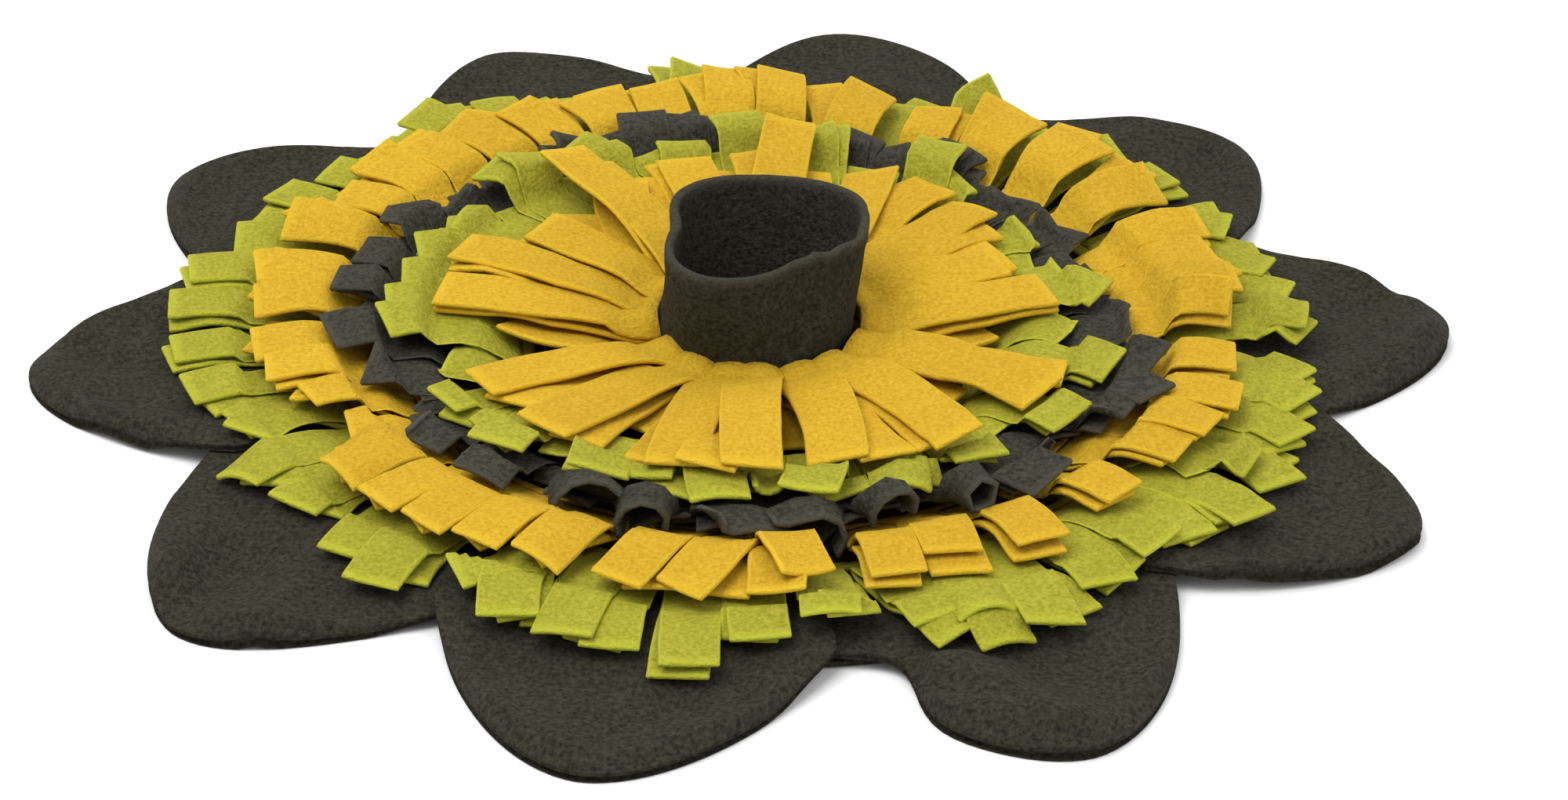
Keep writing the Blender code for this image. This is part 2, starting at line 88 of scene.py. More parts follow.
# Cloth is nowhere quite even: how large and how deep its unevenness is
Uneven = namedtuple("Uneven", "size depth")
PETAL_SWELL = Uneven(0.055, 0.0011)
PETAL_PUCKER = Uneven(0.014, 0.0005)
ROLL_WOBBLE = Uneven(0.012, 0.25)
STRIP_WANDER = Uneven(0.011, 0.00035)
CUP_SWELL = Uneven(0.019, 0.0007)
CUP_PUCKER = Uneven(0.007, 0.00035)
NOISE_STEPS = (7.31, 3.17, 5.53)  # from one seed's noise to the next one's

# ---- sizes of the base, the petals and the cup ----
FLEECE = 0.0028
SEAT = 0.0003
LAYER_GAP = 0.0004
LAYER = FLEECE + LAYER_GAP
EDGE_CLEAR = 0.002
BASE_RADIUS = 0.2475
BASE_THICK = 0.003
BASE_RIM = 0.0012  # the round of its edge,
BASE_SEAM = 0.4 * BASE_RIM  # in which its seam lies this deep
BASE_RINGS = (0.35, 0.7, 0.97)  # shares of its radius
BASE_SIDES = 180
PETAL_COUNT = 10
REACH = 0.325
OUTLINE_CENTRE = 0.3 * REACH
OUTLINE_HALF_WIDTH = 0.3415 * REACH
OUTLINE_POWER = 1.806
OUTLINE_SAMPLES = 400
PETAL_START = 0.215
PETAL_LAP = 0.0055
SEWN_THICK = 0.003
LEAST_THICK = 0.7 * SEWN_THICK
EDGE_THICK = 0.0048
PUFF_THICK = 0.0108
PUFF_POWER = 0.6
LAP_LIFT = SEWN_THICK + 0.0012
LAP_SIDES = (0.44, 0.16)
PUFF_SIDES = (0, 0.19)
BASIN_DROP = 0.0032  # inside its puffed rim a petal is this much thinner
BASIN_SIDES = (0.17, 0.52)
SWELL_SIDES = (0, 0.3)  # the middle swells, and its edge puckers
PUCKER_SIDES = (-0.01, 0.02)
PUCKER_WIDTH = 0.12
SEAM_INSET = 0.0022  # the seam that closes a petal lies this far inside the outline
SEWN_ROLL = 0.3  # where it is sewn down, its edge is rolled this share as far as at its free end
TIP_PUFF = 1.2
RISE_LENGTH = 0.016
RIM_FLAT = 0.004
FLOOR_START = 0.276
LAP_FALL = (0.288, 0.262)
PUFF_RISE = (0.252, 0.300)
FOLD_RISE = (0.250, 0.268)
FOLD_SLACK = 0.003
TIP_TURN = math.radians(43)
SEWN_RINGS = (PETAL_START, BASE_RADIUS - 0.003, BASE_RADIUS + 0.0035)
CUP_CENTRE = (0.0025, -0.003)
CUP_TOP = 0.070
CUP_FOOT_RADIUS = 0.0428
CUP_RIM_RADIUS = 0.0482
CUP_WALL = 0.0046

# ---- how finely this script samples them ----
PETAL_HALF_COLUMNS = 20
PETAL_OPEN_ROWS = 34
DENSER = 1.5  # mesh lines crowd towards a petal's edge by this power
CUP_SIDES = 144
CUP_LEVELS = 26
STATIONS = 18  # along a strip
FINE = 60  # steps in which a strip's section is bent
ACROSS = np.array((-30, -28, -20, -10, 0, 10, 20, 28, 30))  # a strip's mesh lines, in those steps
MIDDLE = len(ACROSS) // 2
PLACES = ACROSS / FINE + 0.5  # from its right edge, 0, to its left one, 1
PETAL_STEPS = (5, 6)  # between two mesh lines, where a petal is added to the pile,
STRIP_STEPS = (7, 5)  # and a strip
PILE_CELL = 0.001
PILE_HALF = 0.36

# ---- how strips are laid ----
STIFF_RADIUS = 0.036  # fleece bends down no tighter
PRESS_SPREAD = 9  # cells over which the height of what is pressed evens out
PRESS_EDGE = (0.004, 0.017)  # beyond the next round's tips: where the press fades and where it ends
PRESS_SHARE = 0.92  # what is pressed ends at this share of its mean height,
PRESS_ROOM = 0.0080  # and no higher than this much below the next round's tips
PRESS_FREE = 0.03  # where nothing presses, the ceiling is so much higher
PRESS_SOFT = 0.004  # heights are squeezed from this far under it on
ROOT_FREE = 0.010  # so near its root a strip isn't held up by what lies under it,
ROOT_GROWTH = 0.022  # and by here it lies at its full height
ROOT_PULL = 0.5  # a strip's line is drawn straight out of the seam up to this share of its length
OWN_START = 0.35  # from this share of its length on, a strip minds the others of its round
OWN_LAYERS = (1.5, 2.5)  # and no more than so many layers of them, for a lower and an upper strip
PARTNER_END = OWN_START + 0.1  # up to here an upper strip lies on the lower one of its pair
TESTED_IN = 0.1  # a strip's edges are tested this share of its half width inside them
EVEN_ROOTS = 0.28  # how evenly the roots are spread round the seam: 1 is quite evenly
CROWD = 0.98  # a strip's width at its root, in shares of its room there; the rest is bent down
CHORD_BEND = 24  # an arc of t radians is t * t / 24 of its length longer than its chord
BEND_START = 0.2  # a strip curls and twists from this share of its length on, or from
BEND_BEFORE = 0.12  # this much before the next round's tips
MOST_TILT = 0.35  # of its width: one side of a strip lies no lower than this under the other
MOST_SLIDE = 0.005  # a tip that lies higher than it was placed slides as if it were this much higher
MOST_LIFT = 0.004  # a tip is raised up to this much more than its pair's lift says
BARE_BEFORE = 0.006  # a strip shows from this far inside the next round's tips on
RISE_START = 0.1  # a strip rises to its lift from this share of its length on at the earliest,
RISE_BEFORE = 0.3  # and from this share inside the next round's tips,
RISE_AFTER = 0.55  # up to this share of what is bare of it
TIP_DROOP = 0.3  # and its tip droops by this share of its lift
CUT_START = 0.8  # a skew cut pulls a strip's mesh askew from this share of its length on

# ---- the petals ----

# number: from the back left on, round the mat; axis: its direction, in degrees; reach: how long it is,
# in shares of REACH; over: it lies over its neighbours; skew: how far its tip is off to its left
Petal = namedtuple("Petal", "number axis reach over skew")
FIRST_AXIS = 151.75
PETAL_REACHES = (0.983, 0.996, 1.009, 1.022, 1.020, 0.978, 0.997, 1.002, 1.010, 0.987)
SKEWS = {3: 0.014, 5: -0.005, 6: 0.008}
PETALS = [
    Petal(k + 1, (FIRST_AXIS + 360 / PETAL_COUNT * k) % 360, reach, k % 2 == 1, SKEWS.get(k + 1, 0))
    for k, reach in enumerate(PETAL_REACHES)
]

# A point of a petal that is drawn to another one, in mm, and how far round it the cloth follows
Dent = namedtuple("Dent", "petal along across to_along to_across width")
DENTS = (Dent(5, 262, -72, 252, -52, 24),)

# A soft ridge or trough of a petal, in mm: along its axis from the mat's middle, and to its left
Fold = namedtuple("Fold", "petal along across to_along to_across width height")
FOLDS = (
    Fold(1, 237, 67, 267, 68, 12, 4),
    Fold(2, 236, 56, 296, 52, 12, 6),
    Fold(2, 262, 4, 306, -16, 10, -4.5),
    Fold(3, 262, -11, 316, 10, 9, -5.5),
    Fold(3, 280, -34, 316, -8, 10, 6.5),
    Fold(3, 268, 22, 308, 44, 10, 4.5),
    Fold(4, 272, 30, 312, 8, 12, -3.5),
    Fold(5, 222, -44, 286, -27, 15, 10),
    Fold(5, 286, -27, 313, -10, 14, 7),
    Fold(5, 250, 2, 300, 12, 20, -2),
    Fold(5, 249, -43, 268, -52, 4, -4),
    Fold(6, 270, -66, 314, -34, 14, 8),
    Fold(6, 314, -34, 322, 4, 12, 7),
    Fold(7, 253, -52, 310, -18, 11, 5),
    Fold(7, 262, 8, 306, 30, 11, -4.5),
    Fold(8, 257, 39, 287, 28, 11, 4),
    Fold(8, 268, -24, 302, -6, 11, -4.5),
    Fold(9, 262, -20, 300, 20, 30, 6),
    Fold(10, 262, -10, 300, 10, 26, 4),
)

# A petal's seam and rolled edge, from its top to its underside: how far out, in mm, and how high, in
# shares of its thickness there
Roll = namedtuple("Roll", "out height")
EDGE_ROLLS = (
    Roll(0.3, 0.94),
    Roll(0.35, 0.80),
    Roll(-0.2, 0.64),
    Roll(1.2, 0.62),
    Roll(2.7, 0.50),
    Roll(3.1, 0.30),
    Roll(2.2, 0.07),
)

# ---- the rounds of strips ----

# root: outer radius of the round's seam; foot: height of the seam. In mm, width: of a strip;
# tip: the height at which its tips were placed; arch: how high its strips stand between root and tip
Round = namedtuple("Round", "name slot pairs root foot width seed tip arch")
QUARTERS = "abcd"

# A doubled pair of strips, in degrees round the mat and mm. at, reach: where the upper one's tip is;
# on, out: how much further round and out the lower one's tip is; lift, hump: what its tip and its
# middle are raised; twist: its turn about its length at its tip; curl: how far round its width is bent
# there, edges up above 0; roll: the same for its left half alone, or its right one below 0; lean: how
# much further round its root is; wide: its own width; last: it is laid after the others
Pair = namedtuple("Pair", "at reach on out lift hump twist curl roll lean wide last", defaults=(0,) * 10)
LIME_OUTER = (
    Pair(3.5, 250, -4.5, -3, lift=12, hump=4, wide=34, last=1, twist=-14),
    Pair(11.5, 250, 2.5, -2),
    Pair(17.5, 250, 3, 2),
    Pair(27, 250, 3, 5),
    Pair(40, 256, -3, -4, lift=3),
    Pair(46.5, 253, 2.5, -3, lift=6),
    Pair(54.5, 250, 3, 0),
    Pair(64, 262, -2.5, -7, lift=9, twist=62),
    Pair(73, 245, -3, 5),
    Pair(80, 250, 3, -2),
    Pair(93.5, 255, -3.5, -5),
    Pair(98.5, 256, 2.5, -1, lift=9, twist=30),
    Pair(107, 248, 3, 2),
    Pair(115, 250, 3, 2),
    Pair(122, 255, 3, -1, lift=5),
    Pair(132, 257, -3, -2, lift=10),
    Pair(138, 250, -2, 2),
    Pair(145, 255, -2, -5),
    Pair(152, 260, 3, -4),
    Pair(163, 254, -3, -2),
    Pair(171.5, 262, 2, 0),
    Pair(178, 264, 2.5, -2),
    Pair(-173, 258, 2, 2),
    Pair(-165, 253, 3, -5),
    Pair(-155, 236, -2, 2),
    Pair(-147.5, 253, 2.5, -9, curl=-50, twist=14),
    Pair(-140.5, 243, 2.5, -5),
    Pair(-130.5, 250, 1.5, -4),
    Pair(-125.5, 257, 2, -7),
    Pair(-118, 243, 2, -5, lift=9, lean=7),
    Pair(-111.5, 251, 1.5, -5),
    Pair(-106, 254, -1.5, -4, lean=3),
    Pair(-101.5, 255, -1.5, 1, hump=2),
    Pair(-94.2, 261, -0.6, 11),
    Pair(-88, 249, -1, 2, lift=5),
    Pair(-81.5, 245, 2, 1, lift=14, hump=6, last=1, curl=-30),
    Pair(-70.5, 238, 1, 12, hump=3, lean=-2),
    Pair(-66, 243, 0, 20, hump=6, curl=-95),
    Pair(-60.5, 256, 2, 1, hump=3),
    Pair(-52.5, 245, 2.5, -2),
    Pair(-45, 243, -1.5, -3, lift=7),
    Pair(-40.5, 243, 1.5, 5),
    Pair(-33.5, 255, -1.5, -5),
    Pair(-31.5, 228, 2, 16, lift=14, hump=4, last=1),
    Pair(-26.5, 254, 2, -4),
    Pair(-18, 249, -2, -3),
    Pair(-12, 247, -2, -2),
    Pair(-6.5, 244, -2, -1),
)
YELLOW_OUTER = (
    Pair(6, 216, -4, -2, hump=2, twist=52, lean=2),
    Pair(10.5, 223, 2.5, -3),
    Pair(18, 220, -2, -2),
    Pair(25, 229, -2.5, -5, twist=24),
    Pair(34.5, 228, 2.5, -4),
    Pair(45, 230, 2, -5, lift=6, hump=2),
    Pair(55.5, 229, 2.5, -3, lift=5),
    Pair(67, 222, -3, -2),
    Pair(76, 223, 7, 2),
    Pair(88, 229, 3, -5, lift=5),
    Pair(98, 229, -3, -7, lift=6, hump=3),
    Pair(104, 228, 4, -12),
    Pair(114, 222, -2, -2),
    Pair(122.5, 229, -2.5, -5),
    Pair(131.5, 230, -4.5, -8),
    Pair(137.5, 227, 2.5, -3),
    Pair(145.5, 222, 2, -2),
    Pair(154, 217, -2, -3),
    Pair(162.5, 228, -2, -4, hump=3, curl=-25),
    Pair(174.5, 227, -2, -3),
    Pair(-177, 222, -2.5, -2),
    Pair(-166.5, 223, -2.5, -2),
    Pair(-162, 220, 2, -2),
    Pair(-154.5, 209, -2, 2, hump=3, twist=22),
    Pair(-146, 203, 1.5, -3),
    Pair(-138, 227, -2, -6, hump=4, curl=-60),
    Pair(-131.5, 228, -2, -4, lean=2),
    Pair(-125, 228, -1.5, -2),
    Pair(-118.5, 226, -1.5, -2, hump=2),
    Pair(-111.5, 226, -1.5, -5, curl=-25),
    Pair(-102.5, 229, 3.5, -1),
    Pair(-96, 231, 4, -3, lean=1.5),
    Pair(-83, 216, -3.5, 13, hump=3, curl=45, twist=-12, lean=-4),
    Pair(-73.5, 222, -1, 6, hump=2),
    Pair(-66.5, 213, -0.5, 13, hump=3),
    Pair(-56.5, 221, -1.5, 6, hump=2),
    Pair(-43, 215, -2, 1),
    Pair(-31, 215, -2, -1),
    Pair(-24.5, 218, -1.5, -2),
    Pair(-17.5, 222, -2, -2),
    Pair(-8.5, 215, -2, -2),
)
CHARCOAL_MIDDLE = (
    Pair(1, 168, -2, -3, curl=40),
    Pair(9.5, 158, 1.5, -3, twist=20),
    Pair(22.5, 160, -2, -2),
    Pair(35.5, 168, -5.5, -16, twist=40),
    Pair(47, 165, -3, -3),
    Pair(60, 183, -3, -3, lift=5, curl=-40),
    Pair(77, 181, -3, -3),
    Pair(90, 172, 3, -2),
    Pair(104, 184, -3, -6, lift=6),
    Pair(112, 186, -3, -5, lift=6),
    Pair(120, 188, 3, -6, twist=35),
    Pair(132, 172, 2, -4),
    Pair(145, 174, -2, -4),
    Pair(159, 185, -3, -7, lift=8, twist=30),
    Pair(166, 187, 2, -5),
    Pair(175, 190, 2, -6),
    Pair(-170, 189, -2, -5, wide=28),
    Pair(-159, 177, 6, -17),
    Pair(-138.5, 184, -2.5, -6, roll=-120),
    Pair(-127, 184, -2, -6, curl=-35),
    Pair(-111, 178, -4, -4, wide=42, curl=-60, last=1),
    Pair(-103, 186, 2, -8, curl=-185, wide=38),
    Pair(-89.5, 185, -2.5, -5, curl=-60, roll=-190, wide=36),
    Pair(-80, 185, 3, -7, curl=-170, roll=-170, wide=42),
    Pair(-70, 182, -2, -8, lift=3, curl=-225, wide=36),
    Pair(-58.5, 186, 3.5, -8, curl=-325, wide=42),
    Pair(-47, 187, -2, -7),
    Pair(-42, 170, -2, -4, curl=-330, wide=38),
    Pair(-26, 181, -2, -5, roll=-150, wide=28),
    Pair(-20.5, 188, 2, -6),
    Pair(-10, 182, -2, -4, twist=16),
)
LIME_INNER = (
    Pair(8.5, 158, 9, -11),
    Pair(34, 150, -2, -2),
    Pair(54.5, 165, 3.5, -2, lift=4),
    Pair(82, 162, -3, -2, lift=7),
    Pair(95, 166, -3, -6, lift=13, hump=3),
    Pair(103.5, 168, 6, -3),
    Pair(119, 164, 5, -2, lift=5, hump=2),
    Pair(134, 164, 8, -1, lift=10, hump=2),
    Pair(151, 159, 5, -2, curl=-30),
    Pair(164, 161, -3, -2),
    Pair(172, 161, 2, -2),
    Pair(-179, 164, 2, -4),
    Pair(-171.5, 165, -2, -5),
    Pair(-146, 158, 6.5, 2, hump=3),
    Pair(-130, 164, -3, -4),
    Pair(-112, 163, -2, -5),
    Pair(-105.5, 157, -2, 1, lift=4, hump=2, twist=14),
    Pair(-93.5, 164, -7, -1, curl=-25),
    Pair(-86, 152, -2, -2, curl=180),
    Pair(-81, 165, 5.5, -4, curl=20),
    Pair(-66, 159, 2, 3, hump=6, curl=-80),
    Pair(-52, 160, -2, -2, lift=3),
    Pair(-32, 163, -2, -3, wide=30),
    Pair(-15, 164, -2, -3),
    Pair(-24, 128, 2, -2, twist=40),
    Pair(-2, 140, -2, -2),
)
YELLOW_INNER = (
    Pair(46.5, 143, -9.5, -12, hump=5, curl=-20),
    Pair(9.5, 131, -2.5, -1),
    Pair(-30, 142, 9, 1, hump=2),
    Pair(-53, 144, -3, -2, hump=3, twist=14),
    Pair(-75, 137, 8.5, 5, hump=2),
    Pair(-90, 149, -7.5, -1),
    Pair(-103, 144, -4.5, -1),
    Pair(-129, 142, 7.5, 0, wide=29),
    Pair(-147, 141, 8, -2),
    Pair(178, 143, 2.5, -1, wide=29),
    Pair(162.5, 144, 4.5, -3),
    Pair(124.5, 149, 6.5, -3, lift=6, hump=4),
    Pair(106, 143, 2.5, -2),
    Pair(92, 150, -6.5, -2, lift=6, hump=4),
    Pair(69, 141, -13.5, 1),
    Pair(23, 118, 2, 2),
    Pair(147, 122, 3, -2),
)
ROUNDS = (
    Round("fringe_1_lime", "lime_fleece", LIME_OUTER, 0.186, 0, 23.6, 11, 13, 1),
    Round("fringe_2_yellow", "yellow_fleece", YELLOW_OUTER, 0.158, 0, 23.4, 22, 27, 2),
    Round("fringe_3_charcoal", "charcoal_strip_fleece", CHARCOAL_MIDDLE, 0.130, 0, 23.4, 33, 25, 2),
    Round("fringe_4_lime", "lime_fleece", LIME_INNER, 0.104, 0, 24, 44, 26, 2),
    Round("fringe_5_yellow", "yellow_fleece", YELLOW_INNER, 0.0452, 0.006, 25, 55, 30, 0),
)
INNERMOST = ROUNDS[-1]
# The short strips under a round's pairs end this much inside the pairs beside them, in mm
SHORTER = {"fringe_3_charcoal": 16, "fringe_4_lime": 16, "fringe_5_yellow": 30}
SHORTEST = 32  # mm

# The innermost round's strips lap each other at their roots: a strip's width there, in shares of its
# room; how much higher its left edge lies; and the shares of its length over which that ends
SHINGLE_WIDTH = 1.22
SHINGLE_TILT = 0.0042
SHINGLE_SHARES = (0.25, 0.8)

# How unlike the strips are: standard deviations, in degrees, mm and, of the tone, in shares
Unlike = namedtuple("Unlike", "twist curl hump width cut tone")
SPREAD = Unlike(4, 9, 1.2, 0.8, 4, 0.035)
MOST_UNLIKE = 1.8  # times those
PAIR_UNLIKE = 0.45  # of that, between the two strips of a pair
UNDER_TWIST = 0.6  # what a lower strip takes of its pair's twist,
UNDER_CURL = 0.5  # and of its curl,
MOST_UNDER_CURL = -90  # of which that over this many degrees down doesn't count

# A strip's cut edges: how far its end and its sides bulge, what its faces lose there of its
# thickness, and how much of a cut edge's painted glow, a brighter colour for light shining through
# the thin cloth, shows beside it, on its faces and before its end
END_BULGE = 0.0007
SIDE_BULGE = 0.0006
END_ROUND = 0.28
SIDE_GLOW = 0.45
END_GLOW = 0.5

# The strip that a round's roots are sewn into; the innermost one is narrower and lies further out
BACKING_WIDTH = 0.006
INNER_BACKING_WIDTH = 0.003
INNER_BACKING_OUT = 0.0025
BACKING_SIDES = 160
BACKING_SECTION = 10
BACKING_POWER = 0.5  # of its section: 1 is an ellipse, 0 a box

# ---- the cup ----

Wave = namedtuple("Wave", "count depth peak")
RIM_WAVES = (Wave(2, 0.0044, 64), Wave(3, 0.0037, 8), Wave(4, 0.0018, -40))
CUP_LEAN = (-0.0025, 0)  # its foot is this far from under its rim
CUP_SEAM = -52  # degrees round it
CUP_NOTCH = 0.004
CUP_CREASE = 0.0009
CUP_CREST = 0.0025
# the share by which the cup's lip is painted towards the cloth's brighter cut-edge colour: a painted
# highlight where the light from above falls on the rim
CUP_RIM_HIGHLIGHT = 0.5
LIP_STEPS = 12
# How far on from the cup's seam each of these is, and how wide it is, in degrees
NOTCH_PLACE = (-14, 13)
CREASE_PLACE = (0, 1.6)
WELT_PLACE = (5, 3.5)
CREST_PLACE = (2, 8)

# A soft fold of the cup's wall: where it is at the foot and at the rim, in degrees; its depth, in mm
CupFold = namedtuple("CupFold", "foot_at rim_at width depth")
CUP_FOLDS = (
    CupFold(-88, -28, 9, -1.6),
    CupFold(-70, -14, 10, 1.3),
    CupFold(-140, -112, 14, 1.0),
    CupFold(20, 34, 12, 1.2),
    CupFold(150, 122, 16, -1.2),
)
CUP_FOLD_GROWTH = 1.6  # a fold is full where its height is 1 / 1.6 of the cup's


def ease(x):
    x = np.clip(x, 0, 1)
    return x * x * (3 - 2 * x)


def ramp(x, start, end):
    return ease((x - start) / (end - start))


def uneven(points, kind, seed):
    """Smooth noise at each point, with features of the kind's size, about as high as its depth."""
    shift = Vector([seed * step for step in NOISE_STEPS])
    flat = np.asarray(points, float).reshape(-1, 3) / kind.size
    found = [noise.noise(Vector(p) + shift) for p in flat]
    return kind.depth * np.array(found).reshape(np.shape(points)[:-1])


def toward(angle):
    """The direction in plan at an angle round the mat."""
    return np.array([math.cos(angle), math.sin(angle)])


def unit(vectors):
    return vectors / np.linalg.norm(vectors, axis=-1, keepdims=True)


# ---- fleece ----


def set_inputs(tree, shader, **inputs):
    """Sets a node's inputs, and links each that is given as another node's output."""
    for name, value in inputs.items():
        socket = shader.inputs[name.replace("_", " ")]
        if isinstance(value, bpy.types.NodeSocket):
            tree.links.new(value, socket)
        else:
            socket.default_value = value
    return shader


def new_material(name):
    material = bpy.data.materials.new(name)
    material.use_nodes = True
    return material, material.node_tree, material.node_tree.nodes["Principled BSDF"]


def factor(tree, kind, label=None, **inputs):
    """A new node's Fac output: of a texture, or of the mesh's attribute with that label."""
    new = set_inputs(tree, tree.nodes.new(kind), **inputs)
    if label:
        new.attribute_name = label
    return new.outputs["Fac"]


def scaled_sum(tree, one, scale, other):
    new = tree.nodes.new("ShaderNodeMath")
    new.operation = "MULTIPLY_ADD"
    tree.links.new(one, new.inputs[0])
    new.inputs[1].default_value = scale
    tree.links.new(other, new.inputs[2])
    return new.outputs[0]


def fleece(cloth):
    """Brushed fleece: a curly pile, uneven in colour, with painted light: brighter along a cut edge, for
    light glowing through the thin cloth.
    """
    material, tree, shader = new_material(cloth.name)
    where = tree.nodes.new("ShaderNodeTexCoord").outputs["Object"]
    curls, clumps, patches = (
        factor(tree, "ShaderNodeTexNoise", Vector=where, Scale=scale, Detail=detail, Roughness=rough)
        for scale, detail, rough in ((CURLS, 4, 0.65), (cloth.clumps, 2, 0.5), (PATCHES, 2, 0.5))
    )
    tone, cut = (factor(tree, "ShaderNodeAttribute", label) for label in ("tone", "cut"))
    tint = tree.nodes.new("ShaderNodeValToRGB")
    for stop, place, colour in zip(tint.color_ramp.elements, (0.5, 1), (cloth.dark, cloth.light)):
        stop.position = place
        stop.color = (*colour, 1)
    set_inputs(tree, tint, Fac=scaled_sum(tree, curls, CURL_TINT, clumps))
    shade = scaled_sum(tree, patches, PATCH_SHADE, tone)
    hue = tree.nodes.new("ShaderNodeHueSaturation")
    set_inputs(tree, hue, Color=tint.outputs["Color"], Value=shade)
    # painted light: cut edges are mixed towards a brighter colour that stands for light glowing through the
    # thin cloth, and the cup's lip is mixed towards it as a painted highlight
    mixed = tree.nodes.new("ShaderNodeMix")
    mixed.data_type = "RGBA"
    set_inputs(tree, mixed, Factor=cut, A=hue.outputs["Color"], B=(*cloth.cut, 1))
    bump = tree.nodes.new("ShaderNodeBump")
    height = scaled_sum(tree, curls, CURL_RISE, clumps)
    set_inputs(tree, bump, Strength=0.8, Distance=cloth.relief, Height=height)
    set_inputs(tree, shader, Base_Color=mixed.outputs["Result"], Normal=bump.outputs["Normal"])
    set_inputs(tree, shader, Roughness=0.95, Specular_IOR_Level=0.15)
    set_inputs(tree, shader, Sheen_Weight=0.25, Sheen_Roughness=0.6, Sheen_Tint=(*cloth.light, 1))
    return material


def add_object(name, data):
    new = bpy.data.objects.new(name, data)
    bpy.context.scene.collection.objects.link(new)
    return new


def add_piece(name, points, faces, material, slot, nodes, tones=(), cuts=()):
    """A mesh piece that rides with the mat and stands for CAD nodes."""
    mesh = bpy.data.meshes.new(name)
    mesh.from_pydata([tuple(p) for p in points], [], faces)
    mesh.validate()
    mesh.shade_smooth()
    # painted light, per point: how far each point's colour is painted towards the brighter cut-edge colour
    for label, values, plain in (("tone", tones, TONE), ("cut", cuts, 0.0)):
        layer = mesh.attributes.new(label, "FLOAT", "POINT").data
        layer.foreach_set("value", values if len(values) else [plain] * len(points))
    mesh.materials.append(material)
    piece = add_object(name, mesh)
    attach(piece, "root")
    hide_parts(*nodes)
    return piece


def grid_faces(rows, columns, start=0, loop=False, ring=False, flip=False):
    """Quads of a grid of points; loop joins its last column to the first, and ring its last row."""
    faces = []
    for r in range(rows if ring else rows - 1):
        row, after = start + r * columns, start + (r + 1) % rows * columns
        for c in range(columns if loop else columns - 1):
            n = (c + 1) % columns
            quad = (row + c, row + n, after + n, after + c)
            faces.append(quad[::-1] if flip else quad)
    return faces


# ---- the pile of what was laid before ----


class Pile:
    """The height of everything laid so far, on a grid of square cells."""

    def __init__(self):
        side = int(2 * PILE_HALF / PILE_CELL) + 1
        self.top = np.zeros((side, side))
        self.own = np.zeros((side, side))

    def cells(self, x, y):
        return tuple(np.rint((p + PILE_HALF) / PILE_CELL).astype(int) for p in (x, y))

    def distance(self, centre):
        """How far each cell is from a point."""
        line = np.arange(len(self.top)) * PILE_CELL - PILE_HALF
        return np.hypot(*np.meshgrid(line - centre[0], line - centre[1], indexing="ij"))

    def press(self, reach, most):
        """Presses what lies under the next round, which reaches that far, towards its mean height.

        A cell ends at most that high, but for those beyond the next round's tips.
        """
        line = np.arange(-3 * PRESS_SPREAD, 3 * PRESS_SPREAD + 1)
        weights = np.exp(-0.5 * (line / PRESS_SPREAD) ** 2)
        weights /= weights.sum()
        mean = self.top
        for axis in (0, 1):
            mean = sum(w * np.roll(mean, k, axis) for w, k in zip(weights, line))
        free = ramp(self.distance((0, 0)), reach + PRESS_EDGE[0], reach + PRESS_EDGE[1])
        self.ceiling = np.minimum(PRESS_SHARE * mean, most) + free * PRESS_FREE
        self.top = self.pressed(self.top, self.ceiling)

    def pressed(self, height, ceiling):
        """Heights under a soft ceiling: the nearer to it, the more they are squeezed."""
        start = ceiling - PRESS_SOFT
        over = np.maximum(height - start, 0) / PRESS_SOFT
        return np.where(height > start, ceiling - PRESS_SOFT * np.exp(-over), height)

    def press_points(self, points):
        cells = self.cells(points[:, 0], points[:, 1])
        points[:, 2] = self.pressed(points[:, 2], self.ceiling[cells])

    def close_round(self):
        """What the round in hand has laid becomes a part of the pile."""
        self.top = np.maximum(self.top, self.own)
        self.own[:] = 0

    def add_disc(self, centre, inner, outer, height):
        far = self.distance(centre)
        ring = (far >= inner) & (far <= outer)
        self.top[ring] = np.maximum(self.top[ring], height)

    def add_surface(self, surface, finer):
        """Adds a grid of points, with that many steps between two of its rows and columns."""
        for axis, steps in enumerate(finer):
            count = surface.shape[axis]
            at = np.linspace(0, count - 1, (count - 1) * steps + 1)
            low = np.minimum(at.astype(int), count - 2)
            share = (at - low).reshape([-1, 1, 1] if axis == 0 else [1, -1, 1])
            near = np.take(surface, low, axis)
            far = np.take(surface, low + 1, axis)
            surface = near * (1 - share) + far * share
        cells = self.cells(surface[..., 0], surface[..., 1])
        np.maximum.at(self.own, cells, surface[..., 2])

    def under(self, x, y, own):
        """The height of the pile round each point: what is laid, or the round in hand alone."""
        i, j = self.cells(x, y)
        steps = (-1, 0, 1)
        laid = self.own if own else self.top
        return np.max([laid[i + di, j + dj] for di in steps for dj in steps], axis=0)


# ---- base ----


